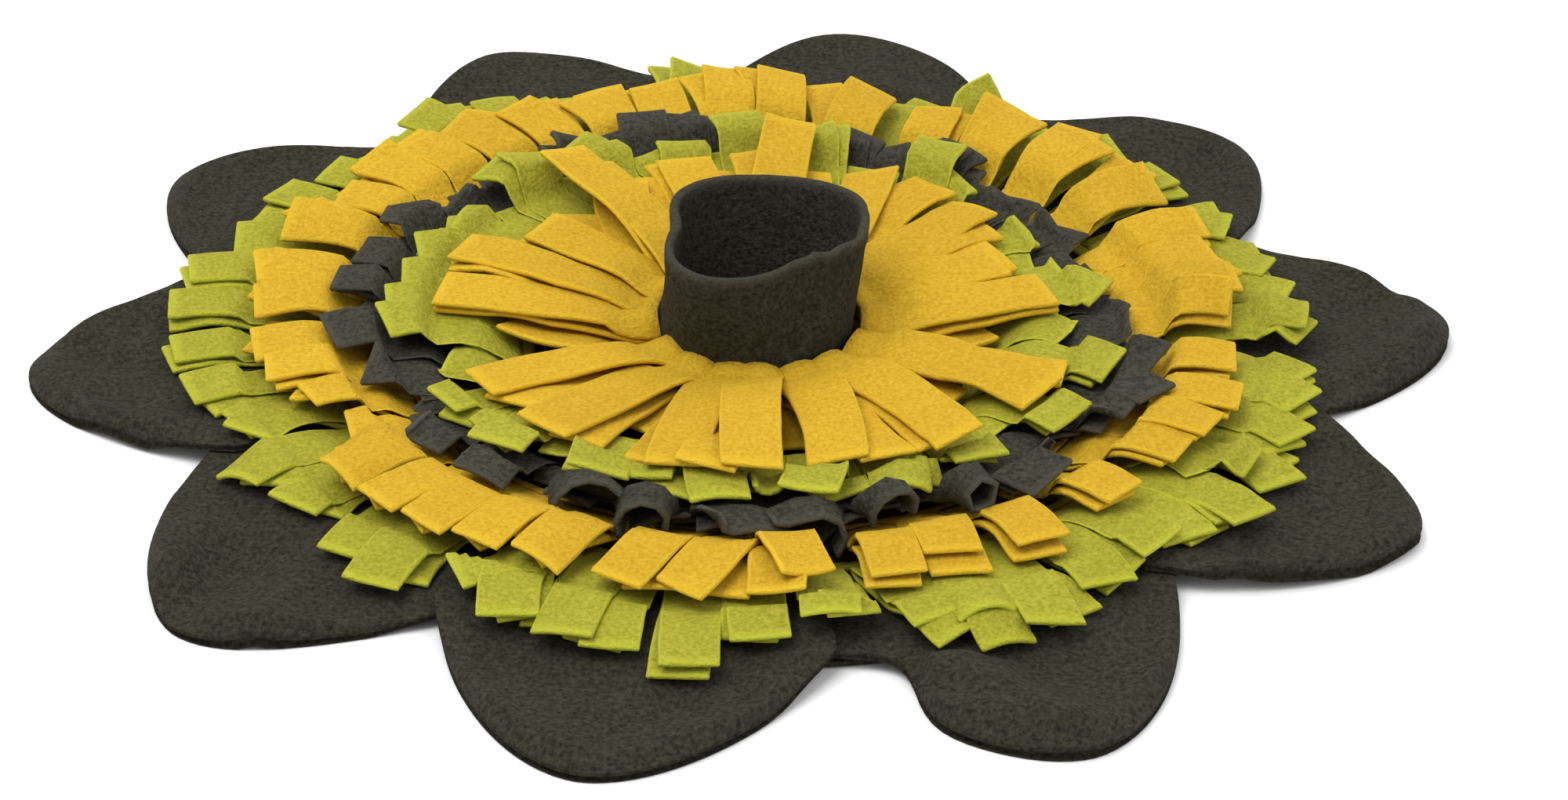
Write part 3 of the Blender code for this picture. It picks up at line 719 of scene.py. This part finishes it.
def build_base(pile, material):
    """The base round: its two faces and its rolled, sewn rim."""
    radii = [share * BASE_RADIUS for share in BASE_RINGS]
    profile = [(r, 0) for r in radii] + [(BASE_RADIUS - BASE_RIM, 0), (BASE_RADIUS, BASE_RIM)]
    profile += [(BASE_RADIUS - BASE_SEAM, BASE_THICK / 2), (BASE_RADIUS, BASE_THICK - BASE_RIM)]
    profile += [(BASE_RADIUS - BASE_RIM, BASE_THICK)] + [(r, BASE_THICK) for r in reversed(radii)]
    turns = np.linspace(0, 2 * math.pi, BASE_SIDES, endpoint=False)
    points = [(r * math.cos(t), r * math.sin(t), height) for r, height in profile for t in turns]
    faces = grid_faces(len(profile), BASE_SIDES, loop=True)
    bottom, top = len(points), len(points) + 1
    points += [(0, 0, 0), (0, 0, BASE_THICK)]
    last = bottom - BASE_SIDES
    for c in range(BASE_SIDES):
        n = (c + 1) % BASE_SIDES
        faces += [(bottom, n, c), (top, last + c, last + n)]
    pile.add_disc((0, 0), 0, BASE_RADIUS, BASE_THICK)
    return add_piece("base_round", points, faces, material, "charcoal_fleece", ["base_disc"])


# ---- petals ----


def outline_point(petal, turn):
    length = petal.reach * REACH - OUTLINE_CENTRE - SEAM_INSET
    width = OUTLINE_HALF_WIDTH - SEAM_INSET
    along = OUTLINE_CENTRE + length * np.cos(turn) ** (2 / OUTLINE_POWER)
    across = width * np.sign(turn) * np.abs(np.sin(turn)) ** (2 / OUTLINE_POWER)
    return along, across


def half_angle(petal, radius):
    along, across = outline_point(petal, np.linspace(0.5 * math.pi, 0, OUTLINE_SAMPLES))
    free = np.interp(radius, np.hypot(along, across), np.arctan2(across, along))
    return min(free, math.pi / PETAL_COUNT + math.asin(PETAL_LAP / radius))


def petal_lines():
    """A petal's mesh lines: across it in half widths, and along it in shares from seam to tip."""
    half = 1 - (1 - np.linspace(0, 1, PETAL_HALF_COLUMNS)) ** DENSER
    across = np.concatenate([-half[:0:-1], half])
    along = 1 - (1 - np.linspace(0, 1, PETAL_OPEN_ROWS + 1)[1:]) ** DENSER
    return across, along


def petal_plan(petal, across, shares):
    """A petal's mesh in plan, along its axis and across it: sewn rings, then a patch up to its tip."""
    rows = []
    for radius in SEWN_RINGS:
        angles = across * half_angle(petal, radius)
        rows.append(np.stack([radius * np.cos(angles), radius * np.sin(angles)], axis=1))
    turns = np.linspace(0.5 * math.pi, 0, OUTLINE_SAMPLES)
    first = np.interp(SEWN_RINGS[-1], np.hypot(*outline_point(petal, turns)), turns)
    start = rows[-1]
    tip = np.stack(outline_point(petal, across * TIP_TURN), axis=1)
    s = (across[:, None] + 1) / 2
    for share in shares:
        side = first + (TIP_TURN - first) * share
        left = np.array(outline_point(petal, -side))
        right = np.array(outline_point(petal, side))
        straight = (1 - share) * start + share * tip
        ends = (1 - s) * straight[0] + s * straight[-1]
        rows.append(straight + (1 - s) * left + s * right - ends)
    plan = np.array(rows)
    beyond = np.clip((plan[..., 0] - BASE_RADIUS) / (petal.reach * REACH - BASE_RADIUS), 0, 1)
    plan[..., 1] += petal.skew * beyond**2
    for dent in DENTS:
        if dent.petal == petal.number:
            far = np.hypot(plan[..., 0] - dent.along * MM, plan[..., 1] - dent.across * MM)
            share = np.exp(-((far / (dent.width * MM)) ** 2))[..., None]
            plan += share * MM * (dent.to_along - dent.along, dent.to_across - dent.across)
    return plan


def fold_height(petal, along, across):
    """The height of a petal's highest ridge at a point of it, less that of its deepest trough."""
    ridge = np.zeros_like(along)
    trough = np.zeros_like(along)
    for f in FOLDS:
        if f.petal == petal.number:
            a, b, to_a, to_b = (v * MM for v in (f.along, f.across, f.to_along, f.to_across))
            run = np.array([to_a - a, to_b - b])
            share = np.clip(((along - a) * run[0] + (across - b) * run[1]) / (run @ run), 0, 1)
            far = np.hypot(along - a - share * run[0], across - b - share * run[1])
            height = f.height * MM * np.exp(-((far / (f.width * MM)) ** 2))
            ridge = np.maximum(ridge, height)
            trough = np.minimum(trough, height)
    return ridge + trough


def petal_heights(petal, plan, across, shares):
    """A petal's underside and top over its plan, and how far inside its edge each point is."""
    along, aside = plan[..., 0], plan[..., 1]
    radius = np.hypot(along, aside)
    over_rim = BASE_THICK + EDGE_CLEAR
    flat_start = BASE_RADIUS - RIM_FLAT
    path = (
        (flat_start - RISE_LENGTH, BASE_THICK + SEAT),
        (flat_start, over_rim),
        (BASE_RADIUS + RIM_FLAT, over_rim),
        (FLOOR_START, 0),
    )
    under = np.interp(radius, *zip(*path))
    side = 1 - np.abs(across)[None, :] * np.ones((len(plan), 1))
    to_tip = np.ones(len(plan))
    to_tip[-len(shares):] = 1 - shares
    inside = np.minimum(side, TIP_PUFF * to_tip[:, None])
    if petal.over:
        under = under + LAP_LIFT * ramp(side, *LAP_SIDES) * ramp(radius, *LAP_FALL)
    opened = ramp(radius, *PUFF_RISE)
    edge = SEWN_THICK + (EDGE_THICK - SEWN_THICK) * opened
    puff = (PUFF_THICK - EDGE_THICK) * ramp(inside, *PUFF_SIDES) ** PUFF_POWER
    puff = opened * (puff - BASIN_DROP * ramp(inside, *BASIN_SIDES))
    fold = fold_height(petal, along, aside) * ramp(radius, *FOLD_RISE)
    under = under + np.maximum(0, fold - FOLD_SLACK)
    top = under + np.maximum(edge + puff + np.minimum(fold, FOLD_SLACK), LEAST_THICK)
    return under, top, inside * opened


def petal_rolls(petal, rim_top, rim_low):
    """The rings of points round a petal's rolled edge, from its top to its underside."""
    ahead = np.roll(rim_low, -1, axis=0) - np.roll(rim_low, 1, axis=0)
    out = unit(np.stack([ahead[:, 1], -ahead[:, 0], 0 * ahead[:, 0]], axis=1))
    wobble = 1 + uneven(rim_low, ROLL_WOBBLE, petal.number + 40)
    opened = ramp(np.hypot(rim_low[:, 0], rim_low[:, 1]), *PUFF_RISE)
    size = SEWN_ROLL + (1 - SEWN_ROLL) * opened
    rings = []
    for roll in EDGE_ROLLS:
        ring = rim_low + (rim_top - rim_low) * roll.height
        rings.append(ring + out * (roll.out * MM * wobble * size)[:, None])
    return rings


def build_petal(petal, pile, material):
    across, shares = petal_lines()
    plan = petal_plan(petal, across, shares)
    under, top, inside = petal_heights(petal, plan, across, shares)
    axis = math.radians(petal.axis)
    x = plan[..., 0] * math.cos(axis) - plan[..., 1] * math.sin(axis)
    y = plan[..., 0] * math.sin(axis) + plan[..., 1] * math.cos(axis)
    rows, columns = x.shape
    surface = np.stack([x, y, top], axis=-1)
    below = np.stack([x, y, under], axis=-1)
    swell = uneven(surface, PETAL_SWELL, petal.number) * ramp(inside, *SWELL_SIDES)
    near_edge = np.exp(-((inside / PUCKER_WIDTH) ** 2)) * ramp(inside, *PUCKER_SIDES)
    surface[..., 2] += swell + uneven(surface, PETAL_PUCKER, petal.number + 20) * near_edge
    index = np.arange(rows * columns).reshape(rows, columns)
    rim = np.concatenate([index[0], index[1:, -1], index[-1, -2::-1], index[-2:0:-1, 0]])
    flat_top, flat_below = surface.reshape(-1, 3), below.reshape(-1, 3)
    rings = petal_rolls(petal, flat_top[rim], flat_below[rim])
    points = np.concatenate([flat_top, flat_below, *rings])
    count = index.size
    faces = grid_faces(rows, columns, flip=True) + grid_faces(rows, columns, count)
    chains = [2 * count + k * len(rim) + np.arange(len(rim)) for k in range(len(rings))]
    for upper, lower in zip([rim, *chains], [*chains, rim + count]):
        corners = (upper, lower, np.roll(lower, -1), np.roll(upper, -1))
        faces += [tuple(quad) for quad in np.transpose(corners).tolist()]
    pile.add_surface(surface, PETAL_STEPS)
    pile.close_round()
    name = f"petal_{petal.number:02d}"
    return add_piece(f"{name}_fleece", points, faces, material, "petal_fleece", [name])


# ---- strips ----

# What a strip is laid by: its round and that round's middle; where its root is; its form, as in a
# pair's row; its width; how skew its end is cut; an upper strip's partner, the line of the lower one
# of its pair; and the share of its length that the next round covers
Strip = namedtuple("Strip", "around centre root_angle root_height form width skew partner bare")

# A strip's middle line in plan, with its directions, its length so far and that in shares
Course = namedtuple("Course", "line ahead aside along share")


def strip_course(strip, tip):
    """The course from the strip's root, straight out of the seam at first, round to its tip."""
    root = strip.centre + strip.around.root * toward(strip.root_angle)
    pull = root + ROOT_PULL * np.linalg.norm(tip - root) * toward(strip.root_angle)
    t = np.linspace(0, 1, STATIONS)[:, None]
    line = (1 - t) ** 2 * root + 2 * t * (1 - t) * pull + t**2 * tip
    ahead = unit(2 * (1 - t) * (pull - root) + 2 * t * (tip - pull))
    aside = np.stack([-ahead[:, 1], ahead[:, 0]], axis=1)
    steps = np.linalg.norm(np.diff(line, axis=0), axis=1)
    along = np.concatenate([[0], np.cumsum(steps)])
    return Course(line, ahead, aside, along, along / along[-1])


def strip_section(width, curl, roll, twist):
    """For each station the bent section: aside, up, and the turn of its face, at each mesh line."""
    u = np.linspace(-0.5, 0.5, FINE + 1)
    one_side = np.where(roll[:, None] > 0, np.clip(u, 0, 1), np.clip(-u, 0, 1))
    turn = curl[:, None] * u + roll[:, None] * (2 * one_side) ** 2
    middle = (turn[:, 1:] + turn[:, :-1]) / 2
    step = width / FINE
    first = np.zeros((len(turn), 1))
    aside = np.concatenate([first, np.cumsum(np.cos(middle) * step, axis=1)], axis=1)
    up = np.concatenate([first, np.cumsum(np.sin(middle) * step, axis=1)], axis=1)
    centre = FINE // 2
    aside = aside - aside[:, centre : centre + 1]
    up = up - up[:, centre : centre + 1]
    lines = ACROSS + centre
    aside, up, turn = aside[:, lines], up[:, lines], turn[:, lines] + twist[:, None]
    c, s = np.cos(twist)[:, None], np.sin(twist)[:, None]
    return aside * c - up * s, aside * s + up * c, turn


def strip_plan(strip, course):
    """A strip's mesh in plan, with how far up each point is bent and how its face is turned."""
    form, width, share = strip.form, strip.width, course.share
    around = strip.around
    room = 2 * math.pi * np.linalg.norm(course.line - strip.centre, axis=1) / len(around.pairs)
    chord = np.minimum(width, (SHINGLE_WIDTH if around is INNERMOST else CROWD) * room)
    tucked = np.sqrt(np.clip(CHORD_BEND * (1 - chord / width), 0, None))
    late = ramp(share, max(BEND_START, strip.bare - BEND_BEFORE), 1)
    curl = math.radians(form.curl) * late - tucked
    roll = math.radians(form.roll) * late
    aside, up, turn = strip_section(width, curl, roll, math.radians(form.twist) * late)
    plan = course.line[:, None, :] + aside[..., None] * course.aside[:, None, :]
    skew = strip.skew * ACROSS / FINE * width * ramp(share, CUT_START, 1)[:, None]
    return plan + skew[..., None] * course.ahead[:, None, :], up, turn


def drape(need, along):
    """The lowest line over the needed heights that bends down no tighter than fleece does."""
    fall = (along[:, None] - along[None, :]) ** 2 / (2 * STIFF_RADIUS)
    line = (need[None, :] - fall).max(axis=1)
    for _ in range(2):
        padded = np.concatenate([line[:1], line, line[-1:]])
        line = 0.25 * padded[:-2] + 0.5 * padded[1:-1] + 0.25 * padded[2:]
    lack = np.maximum(need - line, 0)
    return line + (lack[None, :] - fall).max(axis=1).clip(0)


def needed(pile, plan, up, own):
    """The height that a strip's mesh lines need to clear the pile, also between its stations."""
    inner = plan + (plan.mean(axis=1, keepdims=True) - plan) * TESTED_IN
    need = pile.under(inner[..., 0], inner[..., 1], own) - up
    between = (inner[1:] + inner[:-1]) / 2
    need_between = pile.under(between[..., 0], between[..., 1], own) - (up[1:] + up[:-1]) / 2
    need[1:] = np.maximum(need[1:], need_between)
    need[:-1] = np.maximum(need[:-1], need_between)
    return need + LAYER_GAP


def between_sides(right, left):
    """The height at each mesh line, from those of a strip's right and left side."""
    return right[:, None] * (1 - PLACES) + left[:, None] * PLACES


def side_heights(pile, strip, course, plan, up):
    """How high the pile holds up a strip's right and left side, at each station."""
    share, partner = course.share, strip.partner
    need = needed(pile, plan, up, False)
    own = needed(pile, plan, up, True)
    own[share < OWN_START] = -1
    own = np.minimum(own, need + OWN_LAYERS[partner is not None] * LAYER)
    if partner is not None:
        near = share < PARTNER_END
        need[near] = np.maximum(need[near], partner[near][:, None] + LAYER)
    need = np.maximum(need, own)
    need[course.along < ROOT_FREE] = -1
    right = need[:, : MIDDLE + 1].max(axis=1)
    left = need[:, MIDDLE:].max(axis=1)
    least = np.maximum(right, left) - MOST_TILT * strip.width
    right, left = np.maximum(right, least), np.maximum(left, least)
    lack = (need - between_sides(right, left)).max(axis=1).clip(0)
    return drape(right + lack, course.along), drape(left + lack, course.along)


def strip_rise(strip, share, lift):
    """What a strip is raised at each station: lifted, with a droop at its tip, and humped."""
    bare = strip.bare
    shown = np.clip((share - bare) / (1 - bare), 0, 1)
    raised = lift * ramp(share, max(RISE_START, bare - RISE_BEFORE), bare + RISE_AFTER * (1 - bare))
    raised -= TIP_DROOP * lift * ramp(shown, 0.5, 1)
    return raised + strip.form.hump * MM * np.sin(math.pi * shown) ** 2


def strip_faces(course, plan, up, turn, height):
    """A strip's lower and upper face, with its sections square to its slope."""
    slope = np.arctan(np.gradient(height[:, MIDDLE], course.along))
    lean = -np.sin(slope)[:, None, None] * course.ahead[:, None, :]
    under = np.concatenate([plan + up[..., None] * lean, height[..., None]], axis=2)
    under[..., 2] += up * np.cos(slope)[:, None]
    flat = -np.sin(turn)[..., None] * course.aside[:, None, :] + np.cos(turn)[..., None] * lean
    upward = np.cos(turn) * np.cos(slope)[:, None]
    return under, under + FLEECE * np.concatenate([flat, upward[..., None]], axis=2)


def lay_strip(pile, strip, tip, lift):
    """Lays a strip on the pile: its two faces as grids of points, and its line but for what is raised."""
    course = strip_course(strip, tip)
    share = course.share
    plan, up, turn = strip_plan(strip, course)
    sides = side_heights(pile, strip, course, plan, up)
    seam = strip.root_height - up.min(axis=1)
    if strip.partner is not None:
        seam = np.maximum(seam, strip.partner + LAYER)
    arch = seam * (1 - share) + strip.around.arch * MM * np.sin(math.pi * share)
    grown = ramp(course.along, 0, ROOT_GROWTH)
    right, left = (
        seam * (1 - grown) + np.maximum(side, arch + side[-1] * share) * grown for side in sides
    )
    if strip.around is INNERMOST:
        left = left + SHINGLE_TILT * (1 - ramp(share, *SHINGLE_SHARES))
    raised = strip_rise(strip, share, lift)
    height = between_sides(right, left) + raised[:, None]
    under, above = strip_faces(course, plan, up, turn, height)
    return under, above, height.mean(axis=1) - raised


def slide(spot, height, new_height):
    """The spot at a new height that the camera sees where it sees this one."""
    camera = np.array(CAMERA_PLACE)
    return spot + (new_height - height) / (camera[2] - height) * (camera[:2] - spot)


def place_strip(pile, strip, tip, placed, goal):
    """Lays a strip twice: the second time lifted and slid for what its tip's height was off."""
    spot, lift = tip, 0
    for _ in range(2):
        under, above, line = lay_strip(pile, strip, spot, lift)
        height = above[-1, :, 2].mean()
        if not lift:
            lift = min(max(goal - height, 0), MOST_LIFT + strip.form.lift * MM)
            height += (1 - TIP_DROOP) * lift
        spot = slide(tip, placed, min(height, placed + MOST_SLIDE))
    return under, above, line


def strip_mesh(under, above, seed):
    """Closes a strip's two faces into a soft-edged mesh: points, faces and the painted glow of its cut
    edges.
    """
    lines = len(ACROSS)
    thick = above - under
    end = END_BULGE * unit(under[-1] - under[-2])
    under = np.concatenate([under, (under[-1] + END_ROUND * thick[-1] + end)[None]])
    above = np.concatenate([above, (above[-1] - END_ROUND * thick[-1] + end)[None]])
    middle = (under + above) / 2
    right, left = (
        (middle[:, edge] + SIDE_BULGE * unit(middle[:, edge] - middle[:, inner]))[:, None]
        for edge, inner in ((0, 1), (-1, -2))
    )
    ring = np.concatenate([under, left, above[:, ::-1], right], axis=1)
    rows, columns = ring.shape[:2]
    push = np.zeros_like(ring)
    push[:, :lines] = push[:, lines + 1 : -1] = np.array((0, 0, 1))
    edges = [0, -1, -2, lines - 1, lines, lines + 1]
    push[:, edges] += unit(ring[:, lines] - ring[:, -1])[:, None]
    ring = ring + uneven(ring, STRIP_WANDER, seed)[..., None] * push
    # painted glow: the cut edges, and beside them the faces' last mesh lines, are painted towards a brighter
    # colour for light shining through the thin cloth
    cut = np.zeros((rows, columns))
    cut[:, [lines, columns - 1]] = 1
    cut[:, [0, lines - 1, lines + 1, columns - 2]] = SIDE_GLOW
    cut[-1] = 1
    cut[-2] = np.maximum(cut[-2], END_GLOW)
    caps = [(c, columns - 2 - c, columns - 3 - c, c + 1) for c in range(lines - 1)]
    caps += [(lines - 1, lines + 1, lines), (0, columns - 1, columns - 2)]
    last = (rows - 1) * columns
    faces = grid_faces(rows, columns, loop=True, flip=True)
    faces += [tuple(last + at for at in cap) for cap in caps]
    faces += [cap[::-1] for cap in caps]
    return ring.reshape(-1, 3), faces, cut.reshape(-1)


# ---- rounds of strips ----


def mean_angle(a, b):
    """The angle halfway between two, in degrees."""
    return a + ((b - a + 180) % 360 - 180) / 2


def mean_reach(around):
    return np.mean([pair.reach for pair in around.pairs]) * MM


def root_angles(pairs):
    """Each pair's place on its seam, in radians: nearly even, and near where its tips are."""
    wanted = [p.at + p.on / 2 + p.lean for p in pairs]
    order = sorted(range(len(pairs)), key=lambda k: wanted[k] % 360)
    slots = {k: 360 * place / len(pairs) for place, k in enumerate(order)}
    offs = np.radians([wanted[k] - slots[k] for k in order])
    start = math.degrees(math.atan2(np.sin(offs).mean(), np.cos(offs).mean()))
    found = {}
    for k, pair in enumerate(pairs):
        off = (slots[k] + start - wanted[k] + 180) % 360 - 180
        found[pair] = math.radians(wanted[k] + EVEN_ROOTS * off)
    return found


def short_strips(around, roots):
    """The short strips under a round's pairs, one between each two of them, and their root angles."""
    found = {}
    if around.name in SHORTER:
        order = sorted(around.pairs, key=lambda pair: roots[pair] % (2 * math.pi))
        shortest = around.root / MM + SHORTEST
        for one, other in zip(order, order[1:] + order[:1]):
            at = mean_angle(one.at, other.at)
            reach = max(min(one.reach, other.reach) - SHORTER[around.name], shortest)
            root = mean_angle(math.degrees(roots[one]), math.degrees(roots[other]))
            found[Pair(at, reach)] = math.radians(root)
    return found


def strip_orders(around, rng):
    """The strips in the order in which they are laid: (pair, level)."""
    shuffled = [around.pairs[k] for k in rng.permutation(len(around.pairs))]
    shuffled.sort(key=lambda pair: pair.last)
    return [(pair, level) for pair in shuffled for level in (0, 1)]


def strip_form(pair, level, unlike):
    """A strip's own form. An upper one needs no hump: it lies on the lower one's."""
    if level:
        return pair._replace(twist=pair.twist + unlike.twist, curl=pair.curl + unlike.curl, hump=0)
    return pair._replace(
        twist=UNDER_TWIST * pair.twist + unlike.twist,
        curl=UNDER_CURL * max(pair.curl, MOST_UNDER_CURL) + unlike.curl,
        roll=0,
        hump=pair.hump + abs(unlike.hump),
    )


RoundMesh = namedtuple("RoundMesh", "around points faces tones cuts")


def plan_round(around, pile, next_reach):
    """Lays a round's strips on the pile, and returns its mesh."""
    rng = np.random.default_rng(around.seed)
    centre = np.array(CUP_CENTRE if around is INNERMOST else (0.0, 0.0))
    seam_low = BASE_THICK + SEAT + around.foot
    covered = next_reach - BARE_BEFORE - around.root
    bare = max(0, covered / (mean_reach(around) - around.root))
    roots = root_angles(around.pairs)
    orders = strip_orders(around, rng)
    short = short_strips(around, roots)
    roots.update(short)
    points, faces, cuts, tones, lines = [], [], [], [], {}
    for pair, level in [(pair, 0) for pair in short] + orders:
        own_draws = rng.normal(size=len(SPREAD)).clip(-MOST_UNLIKE, MOST_UNLIKE)
        if not level:
            pair_draws = own_draws
        unlike = Unlike(*(SPREAD * (pair_draws + PAIR_UNLIKE * (own_draws - pair_draws))))
        at, reach = (pair.at, pair.reach) if level else (pair.at + pair.on, pair.reach + pair.out)
        width = pair.wide if pair.wide and level else around.width + unlike.width
        root_height = seam_low + level * LAYER
        if pair in short:
            root_height = max(seam_low - LAYER, BASE_THICK + SEAT)
        form = strip_form(pair, level, unlike)
        skew = math.tan(math.radians(unlike.cut))
        strip = Strip(
            around, centre, roots[pair], root_height, form, width * MM, skew, lines.get(pair), bare
        )
        tip = centre + reach * MM * toward(math.radians(at))
        placed = (around.tip + pair.lift) * MM
        goal = placed - (0 if level else LAYER)
        under, above, lines[pair] = place_strip(pile, strip, tip, placed, goal)
        pile.add_surface(above, STRIP_STEPS)
        pile.add_surface(under, STRIP_STEPS)
        new, quads, cut = strip_mesh(under, above, len(points) + around.seed)
        faces += [tuple(v + len(cuts) for v in quad) for quad in quads]
        points += list(new)
        cuts += list(cut)
        tones += [TONE + unlike.tone] * len(cut)
    build_backing(around, centre, seam_low, points, faces)
    extra = len(points) - len(cuts)
    cuts += [0.0] * extra
    tones += [TONE] * extra
    pile.close_round()
    pile.add_disc(centre, around.root - BACKING_WIDTH, around.root, backing_top(seam_low))
    return RoundMesh(around, np.array(points), faces, tones, cuts)


def backing_top(seam_low):
    return seam_low + 2 * FLEECE + LAYER_GAP


def boxy(value):
    """A circle's sine or cosine, drawn out towards a square's."""
    return math.copysign(abs(value) ** BACKING_POWER, value)


def build_backing(around, centre, seam_low, points, faces):
    """The narrow strip that a round's roots are sewn into, as a soft ring."""
    top = backing_top(seam_low)
    floor = BASE_THICK + SEAT
    outer = around.root + (INNER_BACKING_OUT if around is INNERMOST else 0)
    width = INNER_BACKING_WIDTH if around is INNERMOST else BACKING_WIDTH
    faces.extend(grid_faces(BACKING_SECTION, BACKING_SIDES, len(points), loop=True, ring=True))
    for k in range(BACKING_SECTION):
        turn = 2 * math.pi * k / BACKING_SECTION
        r = outer - width / 2 + width / 2 * boxy(math.cos(turn))
        z = (floor + top) / 2 + (top - floor) / 2 * boxy(math.sin(turn))
        for side in range(BACKING_SIDES):
            a = 2 * math.pi * side / BACKING_SIDES
            points.append((centre[0] + r * math.cos(a), centre[1] + r * math.sin(a), z))


def build_round(shape, material):
    around = shape.around
    nodes = [f"{around.name}_{letter}" for letter in QUARTERS]
    name = f"{around.name}_strips"
    looks = (shape.tones, shape.cuts)
    return add_piece(name, shape.points, shape.faces, material, around.slot, nodes, *looks)


# ---- cup ----


def cup_radius(angle, share):
    waves = sum(w.depth * np.cos(w.count * (angle - math.radians(w.peak))) for w in RIM_WAVES)
    return CUP_FOOT_RADIUS + (CUP_RIM_RADIUS - CUP_FOOT_RADIUS) * share + waves * ease(share)


def bell(angle, middle, width):
    """1 at an angle round the cup and 0 far from it; the last two are in degrees."""
    off = (np.degrees(angle) - middle + 180) % 360 - 180
    return np.exp(-((off / width) ** 2))


def at_seam(angle, place):
    return bell(angle, CUP_SEAM + place[0], place[1])


def cup_section():
    """The doubled wall's section, up the outside, over the lip and down: its inset and its height."""
    lip = CUP_WALL / 2
    levels = np.linspace(BASE_THICK + SEAT, CUP_TOP - lip, CUP_LEVELS)
    turns = [math.pi * k / LIP_STEPS for k in range(1, LIP_STEPS)]
    over = [(lip - lip * math.cos(t), CUP_TOP - lip + lip * math.sin(t)) for t in turns]
    return [(0, height) for height in levels] + over + [(CUP_WALL, height) for height in levels[::-1]]


def build_cup(material):
    """The cup: a doubled wall with a soft rim, an upright seam, and soft folds across its front."""
    foot = BASE_THICK + SEAT
    section = cup_section()
    angles = np.linspace(0, 2 * math.pi, CUP_SIDES, endpoint=False)
    rows = []
    for inset, height in section:
        share = (height - foot) / (CUP_TOP - foot)
        radius = cup_radius(angles, share) - inset
        radius -= CUP_NOTCH * at_seam(angles, NOTCH_PLACE) * ease(share)
        radius -= CUP_CREASE * at_seam(angles, CREASE_PLACE)
        radius += CUP_CREASE * at_seam(angles, WELT_PLACE) * ease(share)
        for fold in CUP_FOLDS:
            middle = fold.foot_at + (fold.rim_at - fold.foot_at) * share
            radius += fold.depth * MM * bell(angles, middle, fold.width) * ease(CUP_FOLD_GROWTH * share)
        x = CUP_CENTRE[0] + CUP_LEAN[0] * (1 - share) + radius * np.cos(angles)
        y = CUP_CENTRE[1] + CUP_LEAN[1] * (1 - share) + radius * np.sin(angles)
        z = height + CUP_CREST * at_seam(angles, CREST_PLACE) * ease(2 * share - 1)
        rows.append(np.stack([x, y, z], axis=1))
    surface = np.array(rows)
    soft = uneven(surface, CUP_SWELL, 70) + uneven(surface, CUP_PUCKER, 71)
    surface[..., :2] += unit(surface[..., :2] - np.array(CUP_CENTRE)) * soft[..., None]
    faces = grid_faces(len(section), CUP_SIDES, loop=True, ring=True)
    # painted highlight: the rim's lip is painted brighter, as if lit from above
    painted_highlight = np.zeros((len(section), CUP_SIDES))
    painted_highlight[CUP_LEVELS - 1 : CUP_LEVELS + LIP_STEPS] = CUP_RIM_HIGHLIGHT
    points = surface.reshape(-1, 3)
    return add_piece("cup_fleece", points, faces, material, "cup_fleece", ["cup"], cuts=painted_highlight.ravel())


# ---- camera, light and floor ----


def build_camera():
    camera = bpy.data.cameras.new("camera")
    camera.lens = CAMERA_LENS
    camera.sensor_width = SENSOR_WIDTH
    camera.clip_start, camera.clip_end = CAMERA_CLIP
    holder = add_object("camera", camera)
    turn = Matrix.Rotation(math.pi / 2 - CAMERA_DOWN, 4, "X") @ Matrix.Rotation(CAMERA_ROLL, 4, "Z")
    holder.matrix_world = Matrix.Translation(CAMERA_PLACE) @ turn
    bpy.context.scene.camera = holder


def build_floor():
    mesh = bpy.data.meshes.new("floor")
    half = FLOOR_SIZE / 2
    corners = [(-half, -half, 0), (half, -half, 0), (half, half, 0), (-half, half, 0)]
    mesh.from_pydata(corners, [], [(0, 1, 2, 3)])
    paint, tree, shader = new_material("floor_paper")
    set_inputs(tree, shader, Base_Color=FLOOR_COLOUR, Roughness=1, Specular_IOR_Level=0)
    mesh.materials.append(paint)
    floor = add_object("floor", mesh)
    floor.location.z = -FLOOR_DROP


def build_lights():
    world = bpy.data.worlds.new("studio")
    world.use_nodes = True
    sky = world.node_tree.nodes["Background"]
    set_inputs(world.node_tree, sky, Color=(1, 1, 1, 1), Strength=SKY_STRENGTH)
    bpy.context.scene.world = world
    for lamp in LAMPS:
        area = bpy.data.lights.new(lamp.name, "AREA")
        area.size = lamp.side
        area.energy = lamp.watts
        light = add_object(lamp.name, area)
        light.location = lamp.place
        light.rotation_euler = (-Vector(lamp.place)).to_track_quat("-Z", "Y").to_euler()
    bpy.context.scene.view_settings.view_transform = "Standard"


# ---- the whole mat ----


def build_fringe(pile):
    """All rounds' meshes, each laid on the ones before it, which it presses down."""
    shapes = []
    for around, after in zip(ROUNDS, (*ROUNDS[1:], None)):
        next_reach = mean_reach(after) if after else 0
        shapes.append(plan_round(around, pile, next_reach))
        if after:
            pile.press(next_reach, after.tip * MM - PRESS_ROOM)
            for shape in shapes:
                pile.press_points(shape.points)
    return shapes


def declare_sheets():
    """Works out each petal's plan, and keeps nothing of it."""
    for petal in PETALS:
        plan = petal_plan(petal, *petal_lines())


def main():
    build_camera()
    build_floor()
    build_lights()
    charcoal, strip_charcoal, lime, yellow = (fleece(cloth) for cloth in CLOTHS)
    pile = Pile()
    base = build_base(pile, charcoal)
    for petal in sorted(PETALS, key=lambda p: p.over):
        build_petal(petal, pile, charcoal)
    materials = (lime, yellow, strip_charcoal, lime, yellow)
    fringes = [build_round(shape, material) for shape, material in zip(build_fringe(pile), materials)]
    cup = build_cup(charcoal)
    declare_sheets()


main()
